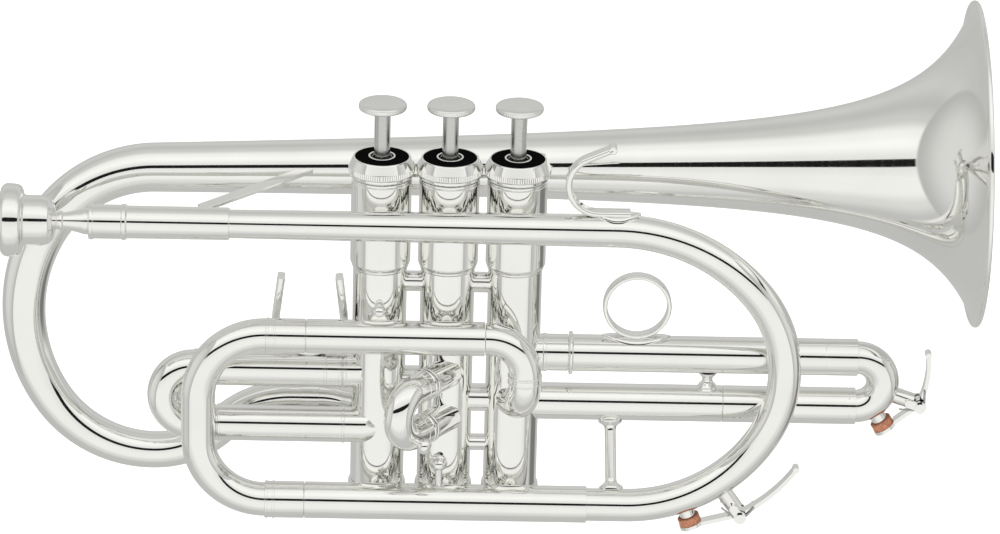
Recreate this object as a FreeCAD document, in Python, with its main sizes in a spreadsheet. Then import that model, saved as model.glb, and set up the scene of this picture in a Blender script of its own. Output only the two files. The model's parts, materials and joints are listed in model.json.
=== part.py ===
import FreeCAD, Part
import math
import os
import Sketcher

# A B flat cornet with a shepherd's crook. +X runs toward the bell, +Y toward the player's left, +Z up along
# the valves. The origin lies on the axis of the second valve, at the height of the hand that holds it.
# Air path: mouthpiece, receiver, leadpipe with its D bend, main tuning slide, inlet elbow, valves 3, 2 and 1,
# tail, crook, bell. Lengths are in millimetres, angles in degrees.

V = FreeCAD.Vector

SIZES = {
    # Valve group
    "valve_pitch": 24.5,
    "bore_r": 8.5,
    "running_gap": 0.03,
    "casing_low_r": 9.8,
    "casing_top_r": 10.9,
    "casing_step_z": 20.0,
    "casing_bottom_z": -64.7,
    "casing_top_z": 54.3,
    "thread_r": 10.2,
    "thread_top_z": 58.4,
    "foot_r": 9.2,
    "foot_length": 5.5,
    "port_r": 4.6,
    "cap_r": 12.0,
    "cap_roof_z": 58.9,
    "cap_felt_z": 60.7,
    "felt_r": 9.65,
    "felt_thickness": 1.3,
    "neck_r": 4.9,
    "neck_bore_r": 4.2,
    "bottom_cap_r": 10.5,
    "bottom_cap_z": -75.2,
    "bottom_cap_floor": 1.8,
    "stem_r": 2.9,
    "stem_stud_r": 1.5,
    "button_r": 8.65,
    "button_z": 79.8,
    "button_height": 3.0,
    "piston_bottom_z": -50.0,
    "piston_shoulder_z": 12.0,
    "piston_top_z": 58.3,
    "barrel_r": 7.3,
    "spring_r": 5.7,
    "spring_wire_r": 0.45,
    "spring_turns": 7.0,
    "spring_pocket": 8.0,
    # Tubes
    "wall": 0.5,
    "slide_gap": 0.03,
    "parting": 0.3,
    "front_y": -17.5,
    "lead_z": 41.6,
    "bell_y": 23.5,
    "bell_z": 49.3,
    "bell_tilt": 1.37,
    "bell_start": -107.0,
    "bell_end": 191.7,
    # Main tuning slide
    "main_high_z": -1.5,
    "main_low_z": -66.7,
    "main_high_r": 6.25,
    "main_low_r": 6.7,
    "main_bow_r": 6.15,
    "main_bow_x": -65.2,
    "main_parting_x": -50.6,
    "main_bend_r": 24.4,
    "main_low_end_x": 52.4,
    "main_high_end_x": 13.8,
    # First slide
    "first_high_y": -2.0,
    "first_low_y": -4.5,
    "first_high_z": -21.1,
    "first_low_z": -42.0,
    "first_r": 6.6,
    "first_elbow_r": 8.0,
    "first_bow_x": -92.0,
    "first_parting_x": -37.6,
    # Second slide
    "second_angle": 36.0,
    "second_offset": 6.0,
    "second_high_z": -19.4,
    "second_low_z": -36.8,
    "second_r": 5.6,
    "second_bow_r": 5.4,
    "second_parting": 22.0,
    "second_bow_start": 26.5,
    # Third slide
    "third_high_z": -13.7,
    "third_low_z": -33.1,
    "third_r": 6.75,
    "third_bow_r": 6.0,
    "third_bow_x": 150.6,
    "third_high_parting_x": 44.6,
    "third_low_parting_x": 101.5,
    "ring_x": 69.3,
    "ring_r": 12.5,
    "ring_bore_r": 10.95,
    "ring_width": 5.0,
    # Water keys
    "key_pin_r": 0.95,
    "key_hub_r": 2.3,
    "key_hub_length": 4.2,
    "key_cork_r": 4.0,
    # Braces, saddle and hook
    "saddle_r": 12.4,
    "saddle_width": 7.0,
    "saddle_thickness": 2.8,
    "hook_r": 10.8,
    "hook_width": 5.2,
    "hook_thickness": 2.4,
    "post_r": 2.05,
}


class Size:
    """A length that carries both its value and the sheet expression that gives it."""

    def __init__(self, value, text):
        self.value = float(value)
        self.text = text

    def __add__(self, other):
        other = sized(other)
        return Size(self.value + other.value, "(%s + %s)" % (self.text, other.text))

    def __sub__(self, other):
        other = sized(other)
        return Size(self.value - other.value, "(%s - %s)" % (self.text, other.text))

    def __mul__(self, other):
        other = sized(other)
        return Size(self.value * other.value, "(%s * %s)" % (self.text, other.text))

    def __truediv__(self, other):
        other = sized(other)
        return Size(self.value / other.value, "(%s / %s)" % (self.text, other.text))

    def __radd__(self, other):
        return sized(other) + self

    def __rsub__(self, other):
        return sized(other) - self

    def __neg__(self):
        return Size(-self.value, "(0 - %s)" % self.text)


def sized(value):
    """A Size from a Size or a plain number."""
    return value if isinstance(value, Size) else Size(value, "%.6g" % value)


doc = FreeCAD.newDocument("cornet")
sheet = doc.addObject("Spreadsheet::Sheet", "Sizes")
for row, (alias, length) in enumerate(SIZES.items(), start=1):
    sheet.set("A%d" % row, alias)
    sheet.set("B%d" % row, str(length))
    sheet.setAlias("B%d" % row, alias)
doc.recompute()

S = {alias: Size(length, "Sizes." + alias) for alias, length in SIZES.items()}
PARTS = {}


# ---------------------------------------------------------------- helpers

def keep(name, item):
    """Name a finished sub-part, which is written to its own file."""
    item.Label = name
    PARTS[name] = item
    return item


def bind(item, prop, size):
    """Bind a property to the sheet."""
    item.setExpression(prop, sized(size).text)


def place(item, x=0, y=0, z=0, axis=(0, 0, 1), angle=0):
    """Put an item at x, y, z after a turn about an axis."""
    base = [sized(value) for value in (x, y, z)]
    turn = FreeCAD.Rotation(V(*axis), angle)
    item.Placement = FreeCAD.Placement(V(*[value.value for value in base]), turn)
    for letter, value in zip("xyz", base):
        bind(item, "Placement.Base." + letter, value)
    return item


def along_x(item, x, y, z):
    """Lay an item's own Z axis along +X."""
    return place(item, x, y, z, axis=(0, 1, 0), angle=90)


def origin_plane(body, role):
    return next(feature for feature in body.Origin.OriginFeatures if feature.Role == role)


def sketch_on(body, name, role):
    sketch = body.newObject("Sketcher::SketchObject", name)
    sketch.AttachmentSupport = (origin_plane(body, role), [""])
    sketch.MapMode = "FlatFace"
    return sketch


def pin_point(sketch, geometry, end, x, y):
    """Hold one end of a sketch line at x, y."""
    for kind, line, value in (("DistanceX", -2, x), ("DistanceY", -1, y)):
        value = sized(value)
        if abs(value.value) < 1e-9:
            sketch.addConstraint(Sketcher.Constraint("PointOnObject", geometry, end, line))
            continue
        index = sketch.addConstraint(Sketcher.Constraint(kind, -1, 1, geometry, end, value.value))
        sketch.setExpression("Constraints[%d]" % index, value.text)


def polygon(sketch, points):
    """A closed outline of straight lines through points of sizes."""
    points = [(sized(x), sized(y)) for x, y in points]
    count = len(points)
    for index, (x, y) in enumerate(points):
        after = points[(index + 1) % count]
        line = Part.LineSegment(V(x.value, y.value, 0), V(after[0].value, after[1].value, 0))
        sketch.addGeometry(line)
    for index, (x, y) in enumerate(points):
        sketch.addConstraint(Sketcher.Constraint("Coincident", index, 2, (index + 1) % count, 1))
        pin_point(sketch, index, 1, x, y)


def turned(name, outline):
    """A body turned about its own Z axis from an outline of radius and height."""
    body = doc.addObject("PartDesign::Body", name)
    sketch = sketch_on(body, name + "_outline", "XZ_Plane")
    polygon(sketch, outline)
    turn = body.newObject("PartDesign::Revolution", name + "_turn")
    turn.Profile = sketch
    turn.ReferenceAxis = (sketch, ["V_Axis"])
    turn.Angle = 360
    return body


def tube(name, outer, inner, length):
    """A straight tube from the origin along its own Z axis."""
    return turned(name, [(inner, 0), (outer, 0), (outer, length), (inner, length)])


def draw_path(sketch, steps):
    """Draw runs and bends end to end from the origin, heading along the sketch's x axis.

    A step is ("run", length) or ("bend", radius, degrees), where degrees is positive to the left.
    """
    point = V(0, 0, 0)
    heading = 0.0
    for index, step in enumerate(steps):
        if step[0] == "run":
            length = sized(step[1])
            end = point + V(math.cos(heading), math.sin(heading), 0) * length.value
            sketch.addGeometry(Part.LineSegment(point, end))
            rule = Sketcher.Constraint("Distance", index, length.value)
            near_end, far_end = 1, 2
            point = end
            bound = length
        else:
            radius = sized(step[1])
            turn = math.radians(step[2])
            side = 1 if turn > 0 else -1
            to_centre = heading + side * math.pi / 2
            centre = point + V(math.cos(to_centre), math.sin(to_centre), 0) * radius.value
            first = to_centre + math.pi
            last = first + turn
            whole = Part.Circle(centre, V(0, 0, 1), radius.value)
            sketch.addGeometry(Part.ArcOfCircle(whole, min(first, last), max(first, last)))
            rule = Sketcher.Constraint("Radius", index, radius.value)
            near_end, far_end = (1, 2) if turn > 0 else (2, 1)
            point = centre + V(math.cos(last), math.sin(last), 0) * radius.value
            heading += turn
            bound = radius
        held = sketch.addConstraint(rule)
        sketch.setExpression("Constraints[%d]" % held, bound.text)
        if index == 0:
            sketch.addConstraint(Sketcher.Constraint("Coincident", 0, near_end, -1, 1))
            if step[0] == "run":
                sketch.addConstraint(Sketcher.Constraint("Horizontal", 0))
        else:
            sketch.addConstraint(Sketcher.Constraint("Tangent", index - 1, previous_end, index, near_end))
        if step[0] == "bend":
            sketch.addConstraint(Sketcher.Constraint("Angle", index, abs(turn)))
        previous_end = far_end


def swept(name, steps, draw_section):
    """A body swept along a flat path that leaves its origin along +X."""
    body = doc.addObject("PartDesign::Body", name)
    path = sketch_on(body, name + "_path", "XZ_Plane")
    draw_path(path, steps)
    section = sketch_on(body, name + "_section", "YZ_Plane")
    draw_section(section)
    pipe = body.newObject("PartDesign::AdditivePipe", name + "_pipe")
    pipe.Profile = section
    pipe.Spine = path
    return body


def circle(sketch, index, radius):
    """Draw a circle about the sketch's origin as its geometry number index."""
    radius = sized(radius)
    sketch.addGeometry(Part.Circle(V(0, 0, 0), V(0, 0, 1), radius.value))
    sketch.addConstraint(Sketcher.Constraint("Coincident", index, 3, -1, 1))
    rule = sketch.addConstraint(Sketcher.Constraint("Radius", index, radius.value))
    sketch.setExpression("Constraints[%d]" % rule, radius.text)


def ring_section(outer, inner):
    """Draw a tube's section: two circles about the origin."""
    def draw(sketch):
        for index, radius in enumerate((outer, inner)):
            circle(sketch, index, radius)
    return draw


def disc_section(radius):
    """Draw a wire's section: one circle about the origin."""
    def draw(sketch):
        circle(sketch, 0, radius)
    return draw


def strip_section(width, thickness):
    """Draw a flat strip's section about the origin."""
    def draw(sketch):
        half_width = sized(width) / 2
        half_thickness = sized(thickness) / 2
        polygon(sketch, [
            (-half_width, -half_thickness), (half_width, -half_thickness),
            (half_width, half_thickness), (-half_width, half_thickness),
        ])
    return draw


def cylinder(name, radius, length, base, direction):
    """A Part cylinder from base along a direction."""
    rod = doc.addObject("Part::Cylinder", name)
    bind(rod, "Radius", radius)
    bind(rod, "Height", length)
    values = [sized(value) for value in base]
    turn = FreeCAD.Rotation(V(0, 0, 1), V(*direction))
    rod.Placement = FreeCAD.Placement(V(*[value.value for value in values]), turn)
    for letter, value in zip("xyz", values):
        bind(rod, "Placement.Base." + letter, value)
    return rod


def torus(name, ring_radius, tube_radius, centre, direction):
    """A Part torus about a direction."""
    item = doc.addObject("Part::Torus", name)
    item.Radius1 = sized(ring_radius).value
    bind(item, "Radius1", ring_radius)
    bind(item, "Radius2", tube_radius)
    turn = FreeCAD.Rotation(V(0, 0, 1), V(*direction))
    values = [sized(value) for value in centre]
    item.Placement = FreeCAD.Placement(V(*[value.value for value in values]), turn)
    for letter, value in zip("xyz", values):
        bind(item, "Placement.Base." + letter, value)
    return item


def joined(name, items):
    """Several items fused into one."""
    fusion = doc.addObject("Part::MultiFuse", name)
    fusion.Shapes = items
    return fusion


def shared(name, items):
    """What several items have in common."""
    common = doc.addObject("Part::MultiCommon", name)
    common.Shapes = items
    return common


def group(name, items):
    """Separate solids kept in one sub-part."""
    compound = doc.addObject("Part::Compound", name)
    compound.Links = items
    return compound


def without(name, base, tools):
    """Base less each of the tools."""
    cut = doc.addObject("Part::Cut", name)
    cut.Base = base
    cut.Tool = tools[0] if len(tools) == 1 else joined(name + "_tools", tools)
    return cut


class Route:
    """A path in space of straight runs and tangent arcs, each starting where the last ended."""

    def __init__(self, start, heading):
        self.point = V(*start)
        self.heading = V(*heading).normalize()
        self.edges = []

    def run(self, length):
        end = self.point + self.heading * length
        self.edges.append(Part.makeLine(self.point, end))
        self.point = end
        return self

    def bend(self, radius, degrees, towards):
        towards = V(*towards)
        side = (towards - self.heading * towards.dot(self.heading)).normalize()
        centre = self.point + side * radius
        turn = math.radians(degrees)
        on_arc = [
            centre + (self.heading * math.sin(part) - side * math.cos(part)) * radius
            for part in (turn / 2, turn)
        ]
        self.edges.append(Part.Arc(self.point, on_arc[0], on_arc[1]).toShape())
        self.heading = self.heading * math.cos(turn) + side * math.sin(turn)
        self.point = on_arc[1]
        return self

    def wire(self):
        return Part.Wire(self.edges)

    def ring(self, point, heading, radius):
        return Part.Wire(Part.makeCircle(radius, point, heading))

    def solid(self, radius):
        """A round bar of one radius along the route."""
        first = self.edges[0]
        start = first.valueAt(first.FirstParameter)
        heading = first.tangentAt(first.FirstParameter)
        face = Part.Face(self.ring(start, heading, radius))
        return self.wire().makePipe(face)

    def cone(self, first_radius, last_radius):
        """A round bar along the route that changes evenly from one radius to the other."""
        first = self.edges[0]
        start = first.valueAt(first.FirstParameter)
        heading = first.tangentAt(first.FirstParameter)
        shell = Part.BRepOffsetAPI.MakePipeShell(self.wire())
        shell.setFrenetMode(False)
        shell.add(self.ring(start, heading, first_radius))
        shell.add(self.ring(self.point, self.heading, last_radius))
        shell.build()
        shell.makeSolid()
        return shell.shape()


def shaped(name, shape):
    """A feature with a shape of its own."""
    item = doc.addObject("Part::Feature", name)
    item.Shape = shape
    return item


def number(alias):
    return S[alias].value


# ---------------------------------------------------------------- valves

VALVES = (1, 2, 3)


def valve_x(valve):
    return S["valve_pitch"] * (valve - 2)


def casing_core(name, valve, radius):
    """The full round of a casing, for shaping what is soldered against it."""
    height = S["casing_top_z"] - S["casing_bottom_z"]
    return cylinder(name, radius, height, (valve_x(valve), 0, S["casing_bottom_z"]), (0, 0, 1))


def casing_round(valve):
    """The same round as a plain shape."""
    height = number("casing_top_z") - number("casing_bottom_z")
    base = V(valve_x(valve).value, 0, number("casing_bottom_z"))
    return Part.makeCylinder(number("casing_low_r"), height, base)


SECOND_DIRECTION = (
    -math.sin(math.radians(number("second_angle"))),
    -math.cos(math.radians(number("second_angle"))),
    0,
)
TAIL_Z = -38.1
INLET_Z = -31.0
KNUCKLE_Z = {(1, 2): -25.5, (2, 3): -32.2}
PORT_REACH = 14.0

# Each port: where its axis crosses the valve, and the way it leaves.
PORTS = {
    1: [
        ((valve_x(1), S["first_high_y"], S["first_high_z"]), (-1, 0, 0)),
        ((valve_x(1), S["first_low_y"], S["first_low_z"]), (-1, 0, 0)),
        ((valve_x(1), 0, TAIL_Z), (-0.87, 0.62, 0)),
        ((valve_x(1), 0, KNUCKLE_Z[(1, 2)]), (1, 0, 0)),
    ],
    2: [
        ((S["second_offset"], 0, S["second_high_z"]), SECOND_DIRECTION),
        ((S["second_offset"], 0, S["second_low_z"]), SECOND_DIRECTION),
        ((0, 0, KNUCKLE_Z[(1, 2)]), (-1, 0, 0)),
        ((0, 0, KNUCKLE_Z[(2, 3)]), (1, 0, 0)),
    ],
    3: [
        ((valve_x(3), 0, S["third_high_z"]), (1, 0, 0)),
        ((valve_x(3), 0, S["third_low_z"]), (1, 0, 0)),
        ((valve_x(3), 0, INLET_Z), (0.1, -1, 0)),
        ((valve_x(3), 0, KNUCKLE_Z[(2, 3)]), (-1, 0, 0)),
    ],
}


def make_casing(valve):
    name = "valve_casing_%d" % valve
    step = S["casing_step_z"]
    foot_z = S["casing_bottom_z"] - S["foot_length"]
    shell = turned(name + "_shell", [
        (S["bore_r"], foot_z), (S["foot_r"], foot_z),
        (S["foot_r"], S["casing_bottom_z"]), (S["casing_low_r"], S["casing_bottom_z"]),
        (S["casing_low_r"], step), (S["casing_top_r"], step + 1.6),
        (S["casing_top_r"], S["casing_top_z"]), (S["thread_r"], S["casing_top_z"]),
        (S["thread_r"], S["thread_top_z"]), (S["bore_r"], S["thread_top_z"]),
    ])
    place(shell, valve_x(valve))
    drills = [
        cylinder("%s_port_%d" % (name, index), S["port_r"], PORT_REACH, base, direction)
        for index, (base, direction) in enumerate(PORTS[valve])
    ]
    keep(name, without(name, shell, drills))


def make_top_cap(valve):
    roof = S["cap_roof_z"]
    edge = S["cap_felt_z"] + 1.2
    skirt = S["casing_top_z"] + S["parting"]
    cap = turned("top_cap_%d" % valve, [
        (S["neck_bore_r"], roof), (S["thread_r"] + 0.1, roof), (S["thread_r"] + 0.1, skirt),
        (S["cap_r"] - 0.9, skirt), (S["cap_r"] - 0.5, skirt + 0.6), (S["cap_r"] - 0.5, skirt + 1.8),
        (S["cap_r"], skirt + 2.3), (S["cap_r"], roof - 0.2), (S["felt_r"] + 0.55, edge),
        (S["felt_r"] + 0.05, edge), (S["felt_r"] + 0.05, S["cap_felt_z"]),
        (S["neck_r"], S["cap_felt_z"]), (S["neck_r"], edge + 0.3), (S["neck_bore_r"], edge + 0.3),
    ])
    keep("top_cap_%d" % valve, place(cap, valve_x(valve)))


def make_cap_felt(valve):
    felt = tube("cap_felt_%d" % valve, S["felt_r"], S["neck_r"] + 0.05, S["felt_thickness"])
    return place(felt, valve_x(valve), 0, S["cap_felt_z"])


def make_bottom_cap(valve):
    low = S["bottom_cap_z"]
    floor = low + S["bottom_cap_floor"]
    top = S["casing_bottom_z"] - S["parting"]
    cap = turned("bottom_cap_%d" % valve, [
        (0, low - 1.2), (2.6, low - 1.2), (3.2, low - 0.6), (3.2, low), (S["bottom_cap_r"] - 1.5, low),
        (S["bottom_cap_r"] - 0.3, low + 1.2), (S["bottom_cap_r"] - 0.3, low + 2.6),
        (S["bottom_cap_r"], low + 3.0), (S["bottom_cap_r"], top - 1.0), (S["bottom_cap_r"] - 0.4, top),
        (S["foot_r"] + 0.05, top), (S["foot_r"] + 0.05, floor), (0, floor),
    ])
    return place(cap, valve_x(valve))


def make_piston(valve):
    name = "piston_%d" % valve
    body_r = S["bore_r"] - S["running_gap"]
    low = S["piston_bottom_z"]
    pocket = low + S["spring_pocket"]
    shoulder = S["piston_shoulder_z"]
    plate = S["piston_top_z"] - 3.0
    core = turned(name + "_core", [
        (S["spring_r"] + 0.9, low), (body_r, low), (body_r, shoulder), (S["barrel_r"], shoulder),
        (S["barrel_r"], S["piston_top_z"]), (2.0, S["piston_top_z"]), (2.0, plate),
        (S["barrel_r"] - 1.0, plate), (S["barrel_r"] - 1.0, shoulder - 4.0), (0, shoulder - 4.0),
        (0, pocket), (S["spring_r"] + 0.9, pocket),
    ])
    passage_r = 4.5
    reach = S["bore_r"] * 2 + 2
    passages = []
    for index, (height, angle) in enumerate(((-33.0, 0), (-19.5, 55), (-5.5, -50))):
        turn = math.radians(angle)
        direction = (math.cos(turn), math.sin(turn), 0)
        start = (-reach / 2 * direction[0], -reach / 2 * direction[1], height)
        passages.append(cylinder("%s_passage_%d" % (name, index), passage_r, reach, start, direction))
    piston = without(name, core, passages)
    keep(name, place(piston, valve_x(valve)))


def make_stem(valve):
    plate = S["piston_top_z"] - 3.0
    stem = turned("valve_stem_%d" % valve, [
        (0, plate), (1.95, plate), (1.95, S["piston_top_z"]), (S["stem_r"], S["piston_top_z"]),
        (S["stem_r"], S["button_z"]), (S["stem_stud_r"], S["button_z"]),
        (S["stem_stud_r"], S["button_z"] + 1.4), (0, S["button_z"] + 1.4),
    ])
    keep("valve_stem_%d" % valve, place(stem, valve_x(valve)))


def make_button(valve):
    low = S["button_z"]
    top = low + S["button_height"]
    stud = S["stem_stud_r"] + 0.02
    rim = S["button_r"]
    button = turned("finger_button_%d" % valve, [
        (stud, low), (3.9, low), (4.6, low + 0.35), (rim - 0.9, low + 0.5), (rim - 0.2, low + 0.85),
        (rim, low + 1.3), (rim, low + 1.9), (rim - 0.3, low + 2.4), (rim - 1.1, low + 2.75),
        (rim - 2.2, top - 0.12), (3.5, top), (0, top), (0, low + 1.45), (stud, low + 1.45),
    ])
    keep("finger_button_%d" % valve, place(button, valve_x(valve)))


def make_spring(valve):
    """A compression spring between the bottom cap and the piston's pocket, its ends clear of both."""
    wire_r = number("spring_wire_r")
    radius = number("spring_r")
    clear = 0.1
    low = number("bottom_cap_z") + number("bottom_cap_floor") + wire_r + clear
    high = number("piston_bottom_z") + number("spring_pocket") - wire_r - clear
    pitch = (high - low) / number("spring_turns")
    helix = Part.makeHelix(pitch, high - low, radius)
    start = V(radius, 0, 0)
    heading = V(0, 2 * math.pi * radius, pitch)
    section = Part.Wire(Part.makeCircle(wire_r, start, heading))
    coil = Part.Wire(helix.Edges).makePipeShell([section], True, True)
    spring = keep("valve_spring_%d" % valve, shaped("valve_spring_%d" % valve, coil))
    spring.Placement = FreeCAD.Placement(V(valve_x(valve).value, 0, low), FreeCAD.Rotation())


for valve in VALVES:
    make_casing(valve)
    make_top_cap(valve)
    make_piston(valve)
    make_stem(valve)
    make_button(valve)
    make_spring(valve)
keep("cap_felts", group("cap_felts", [make_cap_felt(valve) for valve in VALVES]))
keep("bottom_caps", group("bottom_caps", [make_bottom_cap(valve) for valve in VALVES]))


def between_casings(name, pair, radius, bore, height):
    """A round piece along X that fills the gap between two casings."""
    first, second = pair
    start = valve_x(first)
    rod = cylinder(name + "_rod", radius, S["valve_pitch"], (start, 0, height), (1, 0, 0))
    tools = [casing_core("%s_core_%d" % (name, valve), valve, S["casing_low_r"]) for valve in pair]
    if bore:
        tools.append(cylinder(name + "_bore", bore, S["valve_pitch"], (start, 0, height), (1, 0, 0)))
    return without(name, rod, tools)


def make_knuckles():
    outer = S["port_r"] + S["wall"]
    items = [
        between_casings("knuckle_%d_%d" % pair, pair, outer, S["port_r"], height)
        for pair, height in KNUCKLE_Z.items()
    ]
    keep("valve_knuckles", group("valve_knuckles", items))


def make_casing_ties():
    """Solid ties between the casings, above and below the knuckles."""
    items = []
    for pair in ((1, 2), (2, 3)):
        items.append(between_casings("high_tie_%d_%d" % pair, pair, 3.8, None, 13.5))
        items.append(between_casings("low_tie_%d_%d" % pair, pair, 3.1, None, -50.2))
    keep("casing_ties", group("casing_ties", items))


make_knuckles()
make_casing_ties()


# ---------------------------------------------------------------- mouthpiece and leadpipe

MOUTHPIECE_X = -160.4
RECEIVER_X = -128.8
LEAD_X = -82.8
BEND_X = 60.0
LEAD_FIRST_R = 5.1
BEND_TUBE_R = 6.0
SHANK_R = 4.7


def make_mouthpiece():
    """Rim, bowl cup, beaded throat and a tapered shank that sits in the receiver."""
    piece = turned("mouthpiece", [
        (8.3, 0.2), (9.0, 0), (11.6, 0.5), (12.9, 1.7), (13.15, 3.2), (12.9, 6.2), (12.3, 7.6), (9.4, 8.4),
        (9.0, 9.4), (9.0, 15.0), (8.4, 17.4), (6.6, 19.2), (3.3, 19.8), (3.0, 20.6), (3.55, 21.3),
        (3.55, 22.1), (3.0, 22.8), (3.3, 24.5), (4.2, 28.5), (4.75, 30.0), (4.75, 31.2),
        (SHANK_R, 31.3), (4.25, 52.0), (3.3, 52.0), (1.9, 24.0), (1.9, 15.5), (4.6, 13.2), (6.9, 9.6),
        (7.7, 5.0), (7.9, 1.4),
    ])
    keep("mouthpiece", along_x(piece, MOUTHPIECE_X, S["front_y"], S["lead_z"]))


def make_receiver():
    """The socket that takes the mouthpiece at one end and the leadpipe at the other."""
    gap = 0.05
    seat = 52.0 - 31.3 - 0.4
    receiver = turned("mouthpiece_receiver", [
        (SHANK_R + gap, 0), (6.1, 0), (6.5, 0.4), (6.5, 1.4), (6.15, 2.0), (6.15, 11.6), (6.5, 12.2),
        (6.5, 13.2), (6.1, 13.6), (5.9, 13.9), (5.85, 49.8), (5.6, 50.3), (LEAD_FIRST_R + 0.05, 50.3),
        (LEAD_FIRST_R + 0.05, 45.9), (4.5, 45.9), (4.3 + gap, seat + 1.0), (4.25 + gap, seat),
    ])
    keep("mouthpiece_receiver", along_x(receiver, RECEIVER_X, S["front_y"], S["lead_z"]))


D_TURNS = (50.8, 66.3, 62.9)


def d_bend_radii():
    """The D bend's three radii; the last makes the whole drop fit the main slide's lower tube."""
    first, second = 67.0, 48.2
    cosines = [math.cos(math.radians(sum(D_TURNS[:count]))) for count in (1, 2)]
    drop = number("lead_z") - number("main_low_z")
    rest = drop - first * (1 - cosines[0]) - second * (cosines[0] - cosines[1])
    return first, second, rest / (cosines[1] + 1)


D_RADII = d_bend_radii()
D_ROUTE = Route((BEND_X, number("front_y"), number("lead_z")), (1, 0, 0))
for radius, turn, towards in zip(D_RADII, D_TURNS, ((0, 0, -1), (-1, 0, 0), (-1, 0, 0))):
    D_ROUTE.bend(radius, turn, towards)
D_LOW_X = D_ROUTE.point.x
LOW_CENTRE = V(D_LOW_X, number("front_y"), number("main_low_z") + D_RADII[2])


def make_leadpipe():
    """A gently tapered straight pipe, then the D bend down to the main slide."""
    inner_first = LEAD_FIRST_R - number("wall")
    straight_length = BEND_X - LEAD_X
    inner_last = BEND_TUBE_R - number("wall")
    straight = turned("leadpipe_straight", [
        (inner_first, 0), (LEAD_FIRST_R, 0), (BEND_TUBE_R, straight_length), (inner_last, straight_length),
    ])
    along_x(straight, LEAD_X, S["front_y"], S["lead_z"])
    last_run = D_LOW_X - number("main_low_end_x") + 12.0
    steps = [("bend", radius, -turn) for radius, turn in zip(D_RADII, D_TURNS)]
    steps.append(("run", last_run))
    bend = swept("leadpipe_bend", steps, ring_section(BEND_TUBE_R, inner_last))
    place(bend, BEND_X, S["front_y"], S["lead_z"])
    keep("leadpipe", joined("leadpipe", [straight, bend]))


make_mouthpiece()
make_receiver()
make_leadpipe()


# ---------------------------------------------------------------- main tuning slide

def make_main_slide():
    wall = S["wall"]
    start = S["main_parting_x"]
    leg_start = S["main_bow_x"]
    legs = []
    sleeves = []
    rows = (
        ("high", S["main_high_z"], S["main_high_r"], S["main_high_end_x"], 3.0),
        ("low", S["main_low_z"], S["main_low_r"], S["main_low_end_x"], 22.0),
    )
    for word, height, outer, end, short in rows:
        bore = outer - wall
        length = end - start
        outline = [
            (bore, 0), (outer, 0), (outer, length), (bore, length),
        ]
        if word == "low":
            socket = sized(BEND_TUBE_R + 0.02)
            outline = [
                (bore, 0), (outer, 0), (outer, length), (socket, length), (socket, length - 12.6),
                (bore, length - 12.6),
            ]
        sleeves.append(along_x(turned("main_sleeve_" + word, outline), start, S["front_y"], height))
        leg_r = bore - S["slide_gap"]
        collar = start - leg_start - S["parting"]
        leg_end = end - leg_start - short
        legs.append(along_x(turned("main_leg_" + word, [
            (leg_r - wall, 0), (outer, 0), (outer, collar), (leg_r, collar), (leg_r, leg_end),
            (leg_r - wall, leg_end),
        ]), leg_start, S["front_y"], height))
    keep("main_slide_sleeves", group("main_slide_sleeves", sleeves))
    keep("main_slide_legs", group("main_slide_legs", legs))

    bow_r = S["main_bow_r"]
    radius = S["main_bend_r"]
    drop = S["main_high_z"] - S["main_low_z"] - radius * 2
    steps = [("bend", radius, 90), ("run", drop), ("bend", radius, 90)]
    bow = swept("main_slide_bow", steps, ring_section(bow_r, bow_r - wall))
    place(bow, leg_start, S["front_y"], S["main_low_z"], axis=(0, 0, 1), angle=180)
    keep("main_slide_bow", bow)


make_main_slide()


# ---------------------------------------------------------------- inlet elbow

def make_inlet_elbow():
    """The tube from the main slide round and down into the third valve, with a ferrule on the way."""
    outer = 5.9
    start = V(number("main_high_end_x") + number("parting"), number("front_y"), number("main_high_z"))
    route = Route(start, (1, 0, 0))
    route.run(1.0).bend(13.6, 90, (0, 0, -1))
    ferrule = Part.makeCylinder(outer + 0.45, 3.4, route.point, route.heading)
    route.run(4.6).bend(9.6, 90, (-0.45, 1, 0)).run(2.0)
    pipe = route.solid(outer).fuse(ferrule)
    elbow = pipe.cut(route.solid(outer - number("wall"))).cut(casing_round(3))
    largest = max(elbow.Solids, key=lambda solid: solid.Volume)
    keep("inlet_elbow", shaped("inlet_elbow", largest))


make_inlet_elbow()


# ---------------------------------------------------------------- bell

BELL_TILT = math.radians(number("bell_tilt"))
BELL_HEADING = V(math.cos(BELL_TILT), 0, math.sin(BELL_TILT))
BELL_START = V(
    number("bell_start"), number("bell_y"), number("bell_z") + number("bell_start") * math.tan(BELL_TILT))
BELL_LENGTH = (number("bell_end") - number("bell_start")) / math.cos(BELL_TILT)
BEAD_R = 1.15


def bell_radius(from_rim):
    """The bell's outer radius at a distance from its rim: a slow cone and a flare."""
    return 8.06 - 0.00524 * from_rim + 1985.0 / (from_rim + 23.94) ** 1.1556


def bell_curve(inset):
    """A smooth outline from the rim to the small end, closer together where it flares."""
    steps = 18
    points = []
    for index in range(steps + 1):
        from_rim = BELL_LENGTH * (index / steps) ** 2.6
        points.append(V(bell_radius(from_rim) - inset, 0, BELL_LENGTH - from_rim))
    curve = Part.BSplineCurve()
    curve.interpolate(points)
    return curve.toShape(), points[0], points[-1]


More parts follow.
